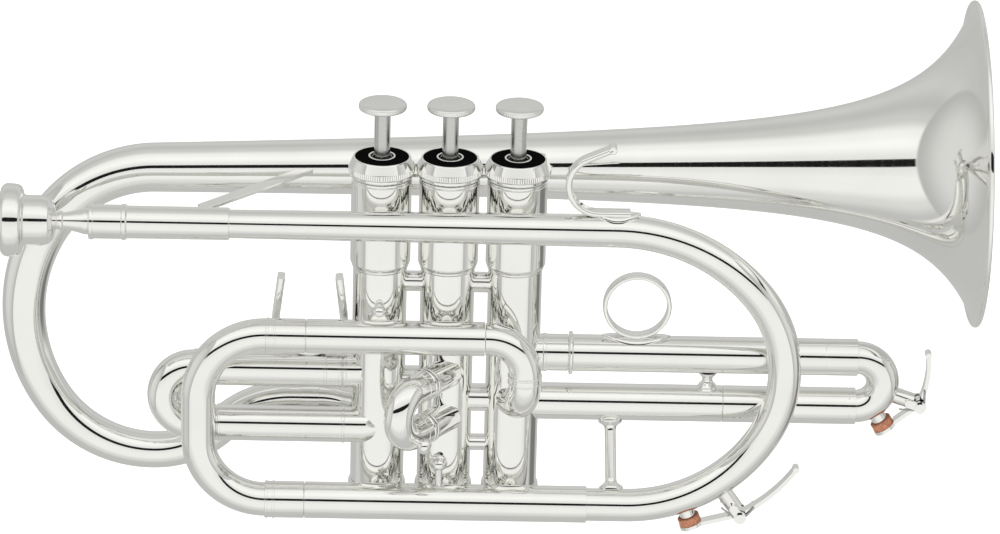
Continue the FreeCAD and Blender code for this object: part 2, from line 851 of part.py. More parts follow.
def make_bell():
    """The straight bell tube and its flare, with a rolled bead at the rim."""
    outer, outer_rim, outer_end = bell_curve(0.0)
    inner, inner_rim, inner_end = bell_curve(number("wall"))
    profile = Part.Wire([
        outer, Part.makeLine(outer_end, inner_end), inner, Part.makeLine(inner_rim, outer_rim)])
    shell = Part.Face(profile).revolve(V(0, 0, 0), V(0, 0, 1), 360)
    rim_r = bell_radius(0)
    bead = Part.makeTorus(rim_r, BEAD_R, V(0, 0, BELL_LENGTH))
    front = Part.makeCylinder(rim_r + 5, 5, V(0, 0, BELL_LENGTH + BEAD_R * 0.75))
    bell = shell.fuse(bead).cut(front)
    item = keep("bell", shaped("bell", bell))
    item.Placement = FreeCAD.Placement(BELL_START, FreeCAD.Rotation(V(0, 0, 1), BELL_HEADING))


def crook_route():
    """From the bell's small end round the crook, then up the tail and into the first valve."""
    fall = V(0, -13.5, -106.5)
    route = Route(BELL_START, -BELL_HEADING)
    route.bend(47.3, 58.2, fall)
    route.bend(60.4, 65.3, (1, 0, 0))
    route.bend(45.2, 56.5, (1, 0, 0))
    return route


def tail_route(start, heading):
    route = Route(start, heading)
    rise = TAIL_Z - start.z
    tilt = math.degrees(BELL_TILT)
    reach = -55.0 - start.x
    turn = 2 * math.degrees(math.atan2(rise, reach))
    radius = (reach ** 2 + rise ** 2) / (4 * rise)
    route.bend(radius, turn - tilt, (0, 0, 1))
    route.bend(radius, turn, (0, 0, -1))
    return route


def make_crook():
    """The crook, narrowing evenly, then the tail with its ferrule and its mouth at the first valve."""
    wall = number("wall")
    first_r = bell_radius(BELL_LENGTH)
    last_r = 6.75
    route = crook_route()
    crook = route.cone(first_r, last_r).cut(route.cone(first_r - wall, last_r - wall))
    keep("bell_crook", shaped("bell_crook", crook))

    tail = tail_route(route.point, route.heading)
    join_x = -46.0
    tail.run(join_x - tail.point.x)
    tail_r = 6.2
    bent = tail.cone(last_r, tail_r).cut(tail.cone(last_r - wall, tail_r - wall))
    end = Route(tail.point, tail.heading)
    end.bend(22.0, 30, (0, -1, 0)).run(6.0)
    mouth = end.solid(tail_r).cut(end.solid(tail_r - wall))
    ferrule_length = 7.0
    back = tail.point - tail.heading * ferrule_length
    ferrule = Part.makeCylinder(tail_r + 0.45, ferrule_length, back, tail.heading)
    ferrule = ferrule.cut(Part.makeCylinder(tail_r - 0.2, ferrule_length, back, tail.heading))
    low_tube = Part.makeCylinder(
        number("first_r") + 0.05, 60, V(-80, number("first_low_y"), number("first_low_z")), V(1, 0, 0))
    whole = bent.fuse([ferrule, mouth]).cut(casing_round(1)).cut(low_tube)
    largest = max(whole.Solids, key=lambda solid: solid.Volume)
    keep("bell_tail", shaped("bell_tail", largest))


make_bell()
make_crook()


# ---------------------------------------------------------------- first slide

def make_valve_elbow(name, x, y, height, outer, inner):
    """The turned end of a tube that comes along X and bends back into the first valve."""
    route = Route((x, y, height), (1, 0, 0))
    route.bend(number("first_elbow_r"), 70, (0, 1, 0))
    return shaped(name, route.solid(outer).cut(route.solid(inner)))


def make_first_slide():
    wall = S["wall"]
    outer = S["first_r"]
    bore = outer - wall
    leg_r = bore - S["slide_gap"]
    start = S["first_bow_x"]
    parting = S["first_parting_x"]
    ferrule = parting + S["parting"]
    high = (S["first_high_y"], S["first_high_z"])
    low = (S["first_low_y"], S["first_low_z"])
    high_elbow_x = valve_x(1) - 9.0
    low_elbow_x = valve_x(1) - 6.5
    low_sleeve_length = 46.0

    stub_start = start + 3.0
    stub = along_x(turned("first_high_stub_tube", [
        (leg_r - wall, 0), (leg_r, 0), (leg_r, ferrule - stub_start), (outer, ferrule - stub_start),
        (outer, high_elbow_x - stub_start), (leg_r - wall, high_elbow_x - stub_start),
    ]), stub_start, *high)
    stub_elbow = make_valve_elbow(
        "first_high_elbow", high_elbow_x.value, high[0].value, high[1].value,
        outer.value, (leg_r - wall).value)
    sleeve_start = ferrule - low_sleeve_length
    sleeve = tube("first_low_sleeve_tube", outer, bore, low_elbow_x - sleeve_start)
    along_x(sleeve, sleeve_start, *low)
    sleeve_elbow = make_valve_elbow(
        "first_low_elbow", low_elbow_x.value, low[0].value, low[1].value, outer.value, bore.value)
    tubes = []
    for name, straight, elbow in (
            ("first_high_stub", stub, stub_elbow), ("first_low_sleeve", sleeve, sleeve_elbow)):
        whole = joined(name + "_whole", [straight, elbow])
        tubes.append(without(name, whole, [casing_core(name + "_core", 1, S["casing_low_r"])]))
    keep("first_slide_tubes", group("first_slide_tubes", tubes))

    sliding = along_x(tube("first_slide_sleeve", outer, bore, parting - start), start, *high)
    collar = sleeve_start - S["parting"] - start
    leg_length = 47.0
    leg = along_x(turned("first_slide_leg", [
        (leg_r - wall, 0), (outer, 0), (outer, collar), (leg_r, collar), (leg_r, leg_length),
        (leg_r - wall, leg_length),
    ]), start, *low)
    keep("first_slide_legs", group("first_slide_legs", [sliding, leg]))

    across = V(0, high[0].value - low[0].value, high[1].value - low[1].value)
    radius = across.Length / 2
    bow_r = outer - 0.35
    bow = swept("first_slide_bow", [("bend", radius, 90), ("bend", radius, 90)],
                ring_section(bow_r, bow_r - wall))
    lean = math.degrees(math.atan2(across.y, across.z))
    place(bow, start, *low)
    bow.Placement = FreeCAD.Placement(
        bow.Placement.Base, FreeCAD.Rotation(V(1, 0, 0), -lean) * FreeCAD.Rotation(V(0, 0, 1), 180))
    keep("first_slide_bow", bow)


def make_thumb_saddle():
    """A U of flat strip on the first slide's upper sleeve, open upward for the thumb."""
    lean = 7.0
    arm = 15.2
    middle_x = -49.7
    side = number("first_high_y")
    strip = swept("thumb_saddle_strip", [
        ("run", arm), ("bend", S["saddle_r"], 180 + 2 * lean), ("run", arm),
    ], strip_section(S["saddle_width"], S["saddle_thickness"]))
    turn = math.radians(lean)
    radius = number("saddle_r")
    bed = 0.4
    rise = number("first_high_z") + number("first_r") + radius + number("saddle_thickness") / 2 - bed
    top = V(
        middle_x - math.cos(turn) * radius + math.sin(turn) * arm, side,
        rise + math.sin(turn) * radius + math.cos(turn) * arm)
    strip.Placement = FreeCAD.Placement(top, FreeCAD.Rotation(V(0, 1, 0), 90 + lean))
    foot_length = 15.0
    foot = cylinder("thumb_saddle_foot_bar", S["first_r"] + 0.8, foot_length,
                    (middle_x - foot_length / 2, side, S["first_high_z"]), (1, 0, 0))
    leaf = [
        cylinder("thumb_saddle_leaf_%d" % index, 10.0, 12.0,
                 (middle_x, side + offset, S["first_high_z"]), (0, 0, 1))
        for index, offset in enumerate((-6.0, 6.0))
    ]
    seat = cylinder("thumb_saddle_seat", S["first_r"], 40.0,
                    (middle_x - 20.0, side, S["first_high_z"]), (1, 0, 0))
    whole = joined("thumb_saddle_whole", [strip, shared("thumb_saddle_foot", [foot] + leaf)])
    keep("thumb_saddle", without("thumb_saddle", whole, [seat]))


make_first_slide()
make_thumb_saddle()


# ---------------------------------------------------------------- second slide

def second_point(along, height):
    return V(
        number("second_offset") + SECOND_DIRECTION[0] * along, SECOND_DIRECTION[1] * along, height)


def make_second_slide():
    wall = S["wall"]
    outer = S["second_r"]
    bore = outer - wall
    leg_r = bore - S["slide_gap"]
    heading = V(*SECOND_DIRECTION)
    turn = FreeCAD.Rotation(V(0, 0, 1), heading)
    flip = FreeCAD.Rotation(V(1, 0, 0), heading)
    sleeves = []
    legs = []
    for word, height in (("high", S["second_high_z"]), ("low", S["second_low_z"])):
        length = S["second_parting"] - 4.0
        sleeve = turned("second_sleeve_" + word + "_tube", [
            (bore, 0), (outer, 0), (outer, length - 1.4), (outer + 0.35, length - 1.1),
            (outer + 0.35, length - 0.3), (outer, length), (bore, length),
        ])
        sleeve.Placement = FreeCAD.Placement(second_point(4.0, height.value), turn)
        core = casing_core("second_core_" + word, 2, S["casing_low_r"])
        sleeves.append(without("second_sleeve_" + word, sleeve, [core]))
        collar = S["second_parting"] + S["parting"]
        first = 14.0
        leg = turned("second_leg_" + word, [
            (leg_r - wall, 0), (leg_r, 0), (leg_r, collar - first), (outer, collar - first),
            (outer, S["second_bow_start"] - first), (leg_r - wall, S["second_bow_start"] - first),
        ])
        leg.Placement = FreeCAD.Placement(second_point(first, height.value), turn)
        legs.append(leg)
    keep("second_slide_sleeves", group("second_slide_sleeves", sleeves))
    keep("second_slide_legs", group("second_slide_legs", legs))

    radius = (S["second_high_z"] - S["second_low_z"]) / 2
    bow_r = S["second_bow_r"]
    steps = [("run", 3.6), ("bend", radius, 90), ("bend", radius, 90), ("run", 3.6)]
    bow = swept("second_slide_bow", steps, ring_section(bow_r, bow_r - wall))
    bow.Placement = FreeCAD.Placement(
        second_point(number("second_bow_start"), number("second_low_z")), flip)
    keep("second_slide_bow", bow)


def make_second_knob():
    """A small pull knob on a short post, at the side of the second slide's bow."""
    radius = (number("second_high_z") - number("second_low_z")) / 2
    middle_z = (number("second_high_z") + number("second_low_z")) / 2
    around = math.radians(-40)
    reach = number("second_bow_start") + 3.6 + radius * math.cos(around)
    base = second_point(reach, middle_z + radius * math.sin(around))
    heading = V(0.87, -0.24, -0.42).normalize()
    knob = turned("second_slide_knob_turned", [
        (0, 3.0), (1.1, 3.0), (1.1, 7.6), (2.3, 8.4), (2.85, 9.4), (2.75, 10.6), (2.0, 11.5), (0, 11.9),
    ])
    knob.Placement = FreeCAD.Placement(base, FreeCAD.Rotation(V(0, 0, 1), heading))
    bow_core = torus("second_slide_knob_seat", radius, S["second_bow_r"],
                     second_point(number("second_bow_start") + 3.6, middle_z),
                     (SECOND_DIRECTION[1], -SECOND_DIRECTION[0], 0))
    keep("second_slide_knob", without("second_slide_knob", knob, [bow_core]))


make_second_slide()
make_second_knob()


# ---------------------------------------------------------------- third slide

def make_third_slide():
    wall = S["wall"]
    outer = S["third_r"]
    bore = outer - wall
    leg_r = bore - S["slide_gap"]
    valve = valve_x(3)
    high = (0, S["third_high_z"])
    low = (0, S["third_low_z"])
    parting = S["parting"]

    stub_end = S["third_bow_x"] - 8.0
    collar = S["third_high_parting_x"] - valve
    stub = turned("third_high_stub_tube", [
        (leg_r - wall, 0), (outer, 0), (outer, collar), (leg_r, collar), (leg_r, stub_end - valve),
        (leg_r - wall, stub_end - valve),
    ])
    along_x(stub, valve, *high)
    sleeve = tube("third_low_sleeve_tube", outer, bore, S["third_low_parting_x"] - valve)
    along_x(sleeve, valve, *low)
    cores = [casing_core("third_core_%d" % index, 3, S["casing_low_r"]) for index in (1, 2)]
    keep("third_slide_tubes", group("third_slide_tubes", [
        without("third_high_stub", stub, cores[:1]), without("third_low_sleeve", sleeve, cores[1:]),
    ]))

    start = S["third_high_parting_x"] + parting
    length = S["third_bow_x"] - start
    bead = outer + 1.2
    sliding = turned("third_slide_sleeve", [
        (bore, 0), (bead - 0.4, 0), (bead, 0.4), (bead, 1.0), (bead - 0.4, 1.4), (outer, 1.4),
        (outer, length), (bore, length),
    ])
    keep("third_slide_sleeve", along_x(sliding, start, *high))

    leg_start = valve + 14.0
    leg = turned("third_slide_leg", [
        (leg_r - wall, 0), (leg_r, 0), (leg_r, S["third_low_parting_x"] + parting - leg_start),
        (outer, S["third_low_parting_x"] + parting - leg_start), (outer, S["third_bow_x"] - leg_start),
        (leg_r - wall, S["third_bow_x"] - leg_start),
    ])
    keep("third_slide_leg", along_x(leg, leg_start, *low))

    radius = (S["third_high_z"] - S["third_low_z"]) / 2
    bow_r = S["third_bow_r"]
    bow = swept("third_slide_bow", [("bend", radius, 90), ("bend", radius, 90)],
                ring_section(bow_r, bow_r - wall))
    place(bow, S["third_bow_x"], *low)
    keep("third_slide_bow", bow)


def leaf_plate(name, x, y, tube_z, tube_r, thickness, half_length, half_width, up):
    """A thin plate with pointed ends, curved over the top or bottom of a tube along X."""
    skin = cylinder(name + "_skin", sized(tube_r) + thickness, half_length * 2 + 2,
                    (sized(x) - half_length - 1, y, tube_z), (1, 0, 0))
    radius = (half_length ** 2 + half_width ** 2) / (2 * half_width)
    shift = radius - half_width
    sides = [
        cylinder("%s_side_%d" % (name, index), radius, 20.0, (x, sized(y) + offset, tube_z), (0, 0, up))
        for index, offset in enumerate((-shift, shift))
    ]
    return shared(name, [skin] + sides)


def make_finger_ring():
    """The ring for the third finger, brazed on a leaf plate over the third slide's upper sleeve."""
    height = S["third_high_z"] + S["third_r"] + S["ring_r"] - 0.2
    half = S["ring_width"] / 2
    hoop = turned("finger_ring_hoop", [
        (S["ring_bore_r"], -half), (S["ring_r"] - 0.35, -half), (S["ring_r"], -half + 0.7),
        (S["ring_r"], half - 0.7), (S["ring_r"] - 0.35, half), (S["ring_bore_r"], half),
    ])
    place(hoop, S["ring_x"], 0, height, axis=(1, 0, 0), angle=90)
    leaf = leaf_plate("finger_ring_leaf", S["ring_x"], 0, S["third_high_z"], S["third_r"], 0.8, 12.5, 4.2, 1)
    seat = cylinder("finger_ring_seat", S["third_r"], 40.0,
                    (S["ring_x"] - 20.0, 0, S["third_high_z"]), (1, 0, 0))
    keep("finger_ring", without("finger_ring", joined("finger_ring_whole", [hoop, leaf]), [seat]))


def make_slide_guide():
    """A waisted guide on the third slide's lower tube that steadies the sleeve above it."""
    x = 96.0
    low = S["third_low_z"]
    height = S["third_high_z"] - low
    guide = turned("slide_guide_turned", [
        (0, 3.0), (3.6, 3.0), (3.4, 7.6), (1.9, 9.2), (1.9, 10.4), (3.4, 12.4), (3.6, 17.0), (0, 17.0),
    ])
    place(guide, x, 0, low)
    lower = cylinder("slide_guide_lower", S["third_r"], 20.0, (x - 10.0, 0, low), (1, 0, 0))
    upper = cylinder("slide_guide_upper", S["third_r"] + S["parting"], 20.0,
                     (x - 10.0, 0, low + height), (1, 0, 0))
    keep("slide_guide", without("slide_guide", guide, [lower, upper]))


make_third_slide()
make_finger_ring()
make_slide_guide()


# ---------------------------------------------------------------- braces, posts and the finger hook

def lead_core(name):
    """The full round of the leadpipe's straight part."""
    core = doc.addObject("Part::Cone", name)
    core.Radius1 = LEAD_FIRST_R
    core.Radius2 = BEND_TUBE_R
    core.Height = BEND_X - LEAD_X
    return along_x(core, LEAD_X, S["front_y"], S["lead_z"])


def bell_core(name, x, length, clear):
    """The full round of the bell tube near x, for shaping what is soldered against it."""
    axis_z = number("bell_z") + x * math.tan(BELL_TILT)
    middle = V(x, number("bell_y"), axis_z)
    from_rim = (number("bell_end") - x) / math.cos(BELL_TILT)
    base = middle - BELL_HEADING * (length / 2)
    return cylinder(name, bell_radius(from_rim) + clear, length, base, BELL_HEADING)


def level_mount(name, valve, casing_r, radius, height, reach, tube_core):
    """A round post that runs level from a casing to a tube beside it."""
    x = valve_x(valve)
    toward = 1 if sized(reach).value > 0 else -1
    rod = cylinder(name + "_rod", radius, sized(reach) * toward, (x, 0, height), (0, toward, 0))
    return without(name, rod, [casing_core(name + "_casing", valve, casing_r), tube_core])


def main_core(name, x, radius, height):
    """The full round of one of the main slide's tubes near x."""
    return cylinder(name, radius, 20.0, (sized(x) - 10.0, S["front_y"], height), (1, 0, 0))


def make_tube_mounts():
    """Short round posts between the casings and the tubes that run past them."""
    items = []
    for valve in (1, 3):
        x = valve_x(valve)
        items.append(level_mount(
            "lead_mount_%d" % valve, valve, S["casing_top_r"], 3.4, S["lead_z"], S["front_y"],
            lead_core("lead_mount_%d_tube" % valve)))
        items.append(level_mount(
            "bell_mount_%d" % valve, valve, S["casing_top_r"], 3.6, 47.5, S["bell_y"],
            bell_core("bell_mount_%d_tube" % valve, x.value, 12.0, 0.12)))
        items.append(level_mount(
            "low_mount_%d" % valve, valve, S["casing_low_r"], 2.0, -62.5, S["front_y"],
            main_core("low_mount_%d_tube" % valve, x, S["main_low_r"], S["main_low_z"])))
    items.append(level_mount(
        "high_mount_2", 2, S["casing_low_r"], 3.0, S["main_high_z"], S["front_y"] + 2.0,
        main_core("high_mount_2_tube", valve_x(2), S["main_high_r"], S["main_high_z"])))
    items.append(make_high_post())
    items.append(make_casing_post())
    keep("tube_mounts", group("tube_mounts", items))


def make_high_post():
    """A post with a round head between the first casing and the upper main tube."""
    lift = 5.0
    seat = main_core("high_post_tube", valve_x(1), S["main_high_r"], S["main_high_z"])
    bar = level_mount(
        "high_post_bar", 1, S["casing_low_r"], 3.0, S["main_high_z"] + lift, S["front_y"] + 2.0, seat)
    head = doc.addObject("Part::Sphere", "high_post_head")
    head.Radius = 2.7
    place(head, valve_x(1), -12.2, 6.2)
    whole = joined("high_post_whole", [bar, head])
    return without("high_post", whole, [seat, casing_core("high_post_core", 1, S["casing_low_r"])])


def make_casing_post():
    """A post from the lower main tube up to a ball on the second casing's front."""
    ball_r = 3.2
    centre = (-1.8, -12.0, -54.0)
    ball = doc.addObject("Part::Sphere", "casing_post_ball")
    ball.Radius = ball_r
    place(ball, *centre)
    rod = cylinder("casing_post_rod", 1.25, 14.0, centre, (0, -0.36, -1))
    foot = cylinder("casing_post_foot", 2.2, 4.0, centre, (0, 1, 0))
    whole = joined("casing_post_whole", [ball, rod, foot])
    return without("casing_post", whole, [
        casing_core("casing_post_core", 2, S["casing_low_r"]),
        main_core("casing_post_tube", centre[0], S["main_low_r"], S["main_low_z"]),
    ])


def make_post_brace():
    """The long post from the third slide's lower tube to the lower main tube, with a foot at each end."""
    x = 60.6
    lean_x = 1.0
    top = V(x, 0, number("third_low_z"))
    foot = V(x + lean_x, number("front_y"), number("main_low_z"))
    span = foot - top
    foot_r = 4.4
    bed = 0.8
    first = number("third_r") - bed
    last = span.Length - BEND_TUBE_R + bed
    rod_r = S["post_r"]
    post = turned("post_brace_turned", [
        (0, first), (foot_r, first), (foot_r, first + 1.6), (3.4, first + 2.2), (2.4, first + 3.0),
        (rod_r, first + 4.2), (rod_r, last - 4.2), (2.4, last - 3.0), (3.4, last - 2.2),
        (foot_r, last - 1.6), (foot_r, last), (0, last),
    ])
    post.Placement = FreeCAD.Placement(top, FreeCAD.Rotation(V(0, 0, 1), span))
    upper = cylinder("post_brace_upper", S["third_r"], 20.0, (x - 10, 0, S["third_low_z"]), (1, 0, 0))
    lower = main_core("post_brace_lower", x, BEND_TUBE_R + 0.03, S["main_low_z"])
    keep("post_brace", without("post_brace", post, [upper, lower]))


def make_bell_brace():
    """A flat bar that runs level from the leadpipe back to the bell tube."""
    start = V(-88.5, -14.6, 46.4)
    end = V(-51.0, 15.4, 50.0)
    span = end - start
    bar = swept("bell_brace_bar", [("run", span.Length)], strip_section(5.4, 1.8))
    bar.Placement = FreeCAD.Placement(start, FreeCAD.Rotation(span, V(span.y, -span.x, 0), V(0, 0, 1), "XYZ"))
    receiver = cylinder("bell_brace_receiver", 5.87, 60.0, (-120.0, S["front_y"], S["lead_z"]), (1, 0, 0))
    keep("bell_brace", without("bell_brace", bar, [receiver, bell_core("bell_brace_bell", -51.0, 20.0, 0.1)]))


def make_finger_hook():
    """A C of flat strip on the leadpipe for the little finger, with a long leaf foot and a rolled tip."""
    radius = number("hook_r")
    sweep = 156.0
    tip_run = 9.7
    foot_run = 11.6
    middle_x = 53.1
    tube_r = LEAD_FIRST_R + (BEND_TUBE_R - LEAD_FIRST_R) * (middle_x - LEAD_X) / (BEND_X - LEAD_X)
    low_z = number("lead_z") + tube_r + 0.9
    strip = swept("finger_hook_strip", [("run", foot_run), ("bend", radius, -sweep), ("run", tip_run)],
                  strip_section(S["hook_width"], S["hook_thickness"]))
    place(strip, middle_x + foot_run, S["front_y"], low_z, axis=(0, 1, 0), angle=180)
    turn = math.radians(180 - sweep)
    centre = V(middle_x, number("front_y"), low_z + radius)
    tip = centre + V(-math.sin(turn), 0, math.cos(turn)) * radius
    tip = tip + V(math.cos(turn), 0, math.sin(turn)) * tip_run
    roll = cylinder("finger_hook_roll", 1.6, S["hook_width"],
                    (tip.x, S["front_y"] - S["hook_width"] / 2, tip.z), (0, 1, 0))
    leaf = leaf_plate("finger_hook_leaf", middle_x + 6.9, S["front_y"], S["lead_z"], tube_r,
                      1.3, 8.6, 4.0, 1)
    whole = joined("finger_hook_whole", [strip, roll, leaf])
    trimmed = without("finger_hook_trimmed", whole, [lead_core("finger_hook_seat")])
    bend_core = torus("finger_hook_bend", D_RADII[0], BEND_TUBE_R,
                      (BEND_X, S["front_y"], S["lead_z"] - D_RADII[0]), (0, 1, 0))
    keep("finger_hook", without("finger_hook", trimmed, [bend_core]))


make_tube_mounts()
make_post_brace()
make_bell_brace()
make_finger_hook()


# ---------------------------------------------------------------- water keys

NIPPLE_HEIGHT = 2.0
CORK_GAP = 0.2
CORK_HEIGHT = 2.8
EAR_THICKNESS = 1.3
EAR_Y = 3.2


def make_key_fork(index, centre, bend_r, tube_r, seat, out, pivot):
    """The drain nipple, and the post whose two ears hold the pin."""
    nipple = cylinder("nipple_bar_%d" % index, 2.9, NIPPLE_HEIGHT + 1.5, seat + out * (tube_r - 1.5), out)
    drain = cylinder("nipple_bore_%d" % index, 1.3, NIPPLE_HEIGHT + 4, seat + out * (tube_r - 2.5), out)
    lift = pivot - centre
    bar_top = lift.Length - 4.4
    lift = lift.normalize()
    bar = cylinder("key_post_bar_%d" % index, 3.0, bar_top - bend_r - tube_r + 3.0,
                   centre + lift * (bend_r + tube_r - 1.5), lift)
    half_fork = EAR_Y + EAR_THICKNESS
    cross = cylinder("key_cross_%d" % index, 1.5, half_fork * 2,
                     centre + lift * bar_top - V(0, half_fork, 0), (0, 1, 0))
    web_width = 3.0
    web_turn = FreeCAD.Rotation(lift, lift.cross(V(0, -1, 0)), V(0, 1, 0), "ZXY")
    ears = []
    for side, ear_y in (("front", -half_fork), ("back", EAR_Y)):
        ears.append(cylinder(
            "key_ear_%s_%d" % (side, index), 2.3, EAR_THICKNESS, pivot + V(0, ear_y, 0), (0, 1, 0)))
        web = doc.addObject("Part::Box", "key_web_%s_%d" % (side, index))
        web.Length = 4.4
        web.Width = web_width
        web.Height = EAR_THICKNESS
        corner = centre + lift * bar_top + V(0, ear_y, 0) - web_turn.multVec(V(0, web_width / 2, 0))
        web.Placement = FreeCAD.Placement(corner, web_turn)
        ears.append(web)
    hole = cylinder("key_hole_%d" % index, S["key_pin_r"], 14.0, pivot - V(0, 7, 0), (0, 1, 0))
    body = joined("key_fork_whole_%d" % index, [nipple, bar, cross] + ears)
    bend_core = torus("key_seat_core_%d" % index, bend_r, tube_r, centre, (0, 1, 0))
    name = "water_key_post_%d" % index
    keep(name, without(name, body, [bend_core, drain, hole]))


def make_key_lever(index, seat, out, cup_low, pivot, tip):
    """The lever: a cup over the cork, an arm to the pin, and a finger part that curls up to a rolled tip."""
    arm_thickness = 1.5
    cup = cylinder("key_cup_%d" % index, S["key_cork_r"] + 0.3, 1.3, seat + out * cup_low, out)
    start = seat + out * (cup_low + 0.7)
    first = pivot - start
    second = tip - pivot
    curl = 26.0
    first_angle = math.degrees(math.atan2(first.z, first.x))
    bend_angle = math.degrees(math.atan2(second.z, second.x)) - curl / 2 - first_angle
    round_r = 9.0
    trim = round_r * math.tan(math.radians(bend_angle) / 2)
    curl_r = (second.Length - trim) / (2 * math.sin(math.radians(curl / 2)))
    arm = swept("key_arm_%d" % index, [
        ("run", first.Length - trim), ("bend", round_r, bend_angle), ("bend", curl_r, curl),
    ], strip_section(S["key_hub_length"], arm_thickness))
    arm.Placement = FreeCAD.Placement(start, FreeCAD.Rotation(V(0, 1, 0), -first_angle))
    heading = math.radians(first_angle + bend_angle)
    last = math.radians(first_angle + bend_angle + curl)
    way = V(math.cos(heading), 0, math.sin(heading))
    end = pivot + way * trim
    end = end + V(math.sin(last) - math.sin(heading), 0, math.cos(heading) - math.cos(last)) * curl_r
    half_hub = S["key_hub_length"] / 2
    hub = cylinder("key_hub_%d" % index, S["key_hub_r"] - 0.1, S["key_hub_length"],
                   (pivot.x, sized(pivot.y) - half_hub, pivot.z), (0, 1, 0))
    roll = cylinder("key_roll_%d" % index, 1.15, S["key_hub_length"],
                    (end.x, sized(end.y) - half_hub, end.z), (0, 1, 0))
    lever = joined("key_lever_whole_%d" % index, [cup, arm, hub, roll])
    bore = cylinder("key_bore_%d" % index, S["key_pin_r"] + 0.05, 14.0, pivot - V(0, 7, 0), (0, 1, 0))
    clear_height = CORK_HEIGHT + 2
    clear = cylinder("key_clear_%d" % index, S["key_cork_r"] + 0.6, clear_height,
                     seat + out * (cup_low - clear_height), out)
    name = "water_key_lever_%d" % index
    keep(name, without(name, lever, [bore, clear]))


def make_key_spring(index, pivot, legs):
    """Two coils on the pin, each with a leg at either end; legs are the ways the legs point, in degrees."""
    coil_r = 1.75
    wire_r = 0.35
    long_leg = 7.5
    short_leg = 6.0
    coil_y = 2.8
    first_way = math.radians(legs[0])
    heading = legs[0] + 180
    far = pivot + V(-math.sin(first_way), 0, math.cos(first_way)) * coil_r
    far = far + V(math.cos(first_way), 0, math.sin(first_way)) * long_leg
    coils = []
    for side in (-1, 1):
        coil = swept("key_coil_%d_%d" % (index, side + 2), [
            ("run", long_leg), ("bend", coil_r, (legs[1] - heading) % 360), ("run", short_leg),
        ], disc_section(wire_r))
        coil.Placement = FreeCAD.Placement(
            far + V(0, side * coil_y, 0), FreeCAD.Rotation(V(0, 1, 0), -heading))
        coils.append(coil)
    keep("water_key_spring_%d" % index, group("water_key_spring_%d" % index, coils))


def make_water_key(index, y, centre, bend_r, tube_r, seat_angle, pivot, tip, legs):
    """A sprung drain key on the outside of a bend: fork, nipple, lever, cork, pin and spring.

    centre, pivot and tip are x, z pairs in the plane y; seat_angle is the drain hole's angle from straight
    down toward +X.
    """
    turn = math.radians(seat_angle)
    out = V(math.sin(turn), 0, -math.cos(turn))
    centre = V(centre[0], y, centre[1])
    pivot = V(pivot[0], y, pivot[1])
    seat = centre + out * bend_r
    make_key_fork(index, centre, bend_r, tube_r, seat, out, pivot)

    cork_low = tube_r + NIPPLE_HEIGHT + CORK_GAP
    name = "water_key_cork_%d" % index
    keep(name, cylinder(name, S["key_cork_r"], CORK_HEIGHT, seat + out * cork_low, out))
    make_key_lever(index, seat, out, cork_low + CORK_HEIGHT, pivot, V(tip[0], y, tip[1]))

    half_pin = EAR_Y + EAR_THICKNESS
    head_height = 1.0
    shank = cylinder("key_pin_shank_%d" % index, S["key_pin_r"], half_pin * 2,
                     pivot - V(0, half_pin, 0), (0, 1, 0))
    head = cylinder("key_pin_head_%d" % index, 1.9, head_height,
                    pivot - V(0, half_pin + head_height, 0), (0, 1, 0))
    keep("water_key_screw_%d" % index, joined("water_key_screw_%d" % index, [shank, head]))
    make_key_spring(index, pivot, legs)


make_water_key(
    1, number("front_y"), (LOW_CENTRE.x, LOW_CENTRE.z), D_RADII[2], BEND_TUBE_R, 21.0,
    (108.7, -69.2), (128.4, -50.6), (140, 52))
make_water_key(
    2, 0.0, (number("third_bow_x"), (number("third_high_z") + number("third_low_z")) / 2),
    (number("third_high_z") - number("third_low_z")) / 2, number("third_bow_r"), 32.5,
    (174.2, -31.6), (175.9, -11.8), (176, 92))

problems = []
doc.recompute()
for name, item in PARTS.items():
    shape = item.Shape
    if "Invalid" in item.State or "Error" in item.State or shape.isNull() or not shape.isValid():
        problems.append(name)
for item in doc.Objects:
    if "Invalid" in item.State or "Error" in item.State:
        problems.append(item.Name)
if problems:
    raise SystemExit("failed: " + ", ".join(problems))

os.makedirs("parts", exist_ok=True)
for name, item in PARTS.items():
    item.Shape.exportStep("parts/%s.step" % name)
print(len(PARTS), "sub-parts")
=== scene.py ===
import json
import math

import bpy
import numpy as np
from mathutils import Matrix, Vector


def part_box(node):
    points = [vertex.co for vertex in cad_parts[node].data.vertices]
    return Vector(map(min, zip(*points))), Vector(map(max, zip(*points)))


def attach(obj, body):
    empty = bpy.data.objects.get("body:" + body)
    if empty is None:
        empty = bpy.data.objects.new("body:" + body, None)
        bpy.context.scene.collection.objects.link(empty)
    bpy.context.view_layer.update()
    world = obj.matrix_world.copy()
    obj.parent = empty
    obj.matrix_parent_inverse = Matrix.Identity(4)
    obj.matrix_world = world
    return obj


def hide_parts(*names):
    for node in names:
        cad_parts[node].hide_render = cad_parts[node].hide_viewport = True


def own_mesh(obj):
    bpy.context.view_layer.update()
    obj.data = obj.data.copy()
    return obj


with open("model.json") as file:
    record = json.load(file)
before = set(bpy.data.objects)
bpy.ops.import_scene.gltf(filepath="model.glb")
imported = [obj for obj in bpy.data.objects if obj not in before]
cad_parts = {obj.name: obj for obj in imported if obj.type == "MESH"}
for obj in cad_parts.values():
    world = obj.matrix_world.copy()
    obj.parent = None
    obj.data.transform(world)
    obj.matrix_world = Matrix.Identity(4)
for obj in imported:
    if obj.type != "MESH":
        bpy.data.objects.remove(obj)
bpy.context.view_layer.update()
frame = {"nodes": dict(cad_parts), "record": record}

MM = 0.001
RIGHT, LEFT = (1, 0, 0), (-1, 0, 0)
BACK, FRONT = (0, 1, 0), (0, -1, 0)
UP, DOWN = (0, 0, 1), (0, 0, -1)

# ---------------- sizes, in millimetres

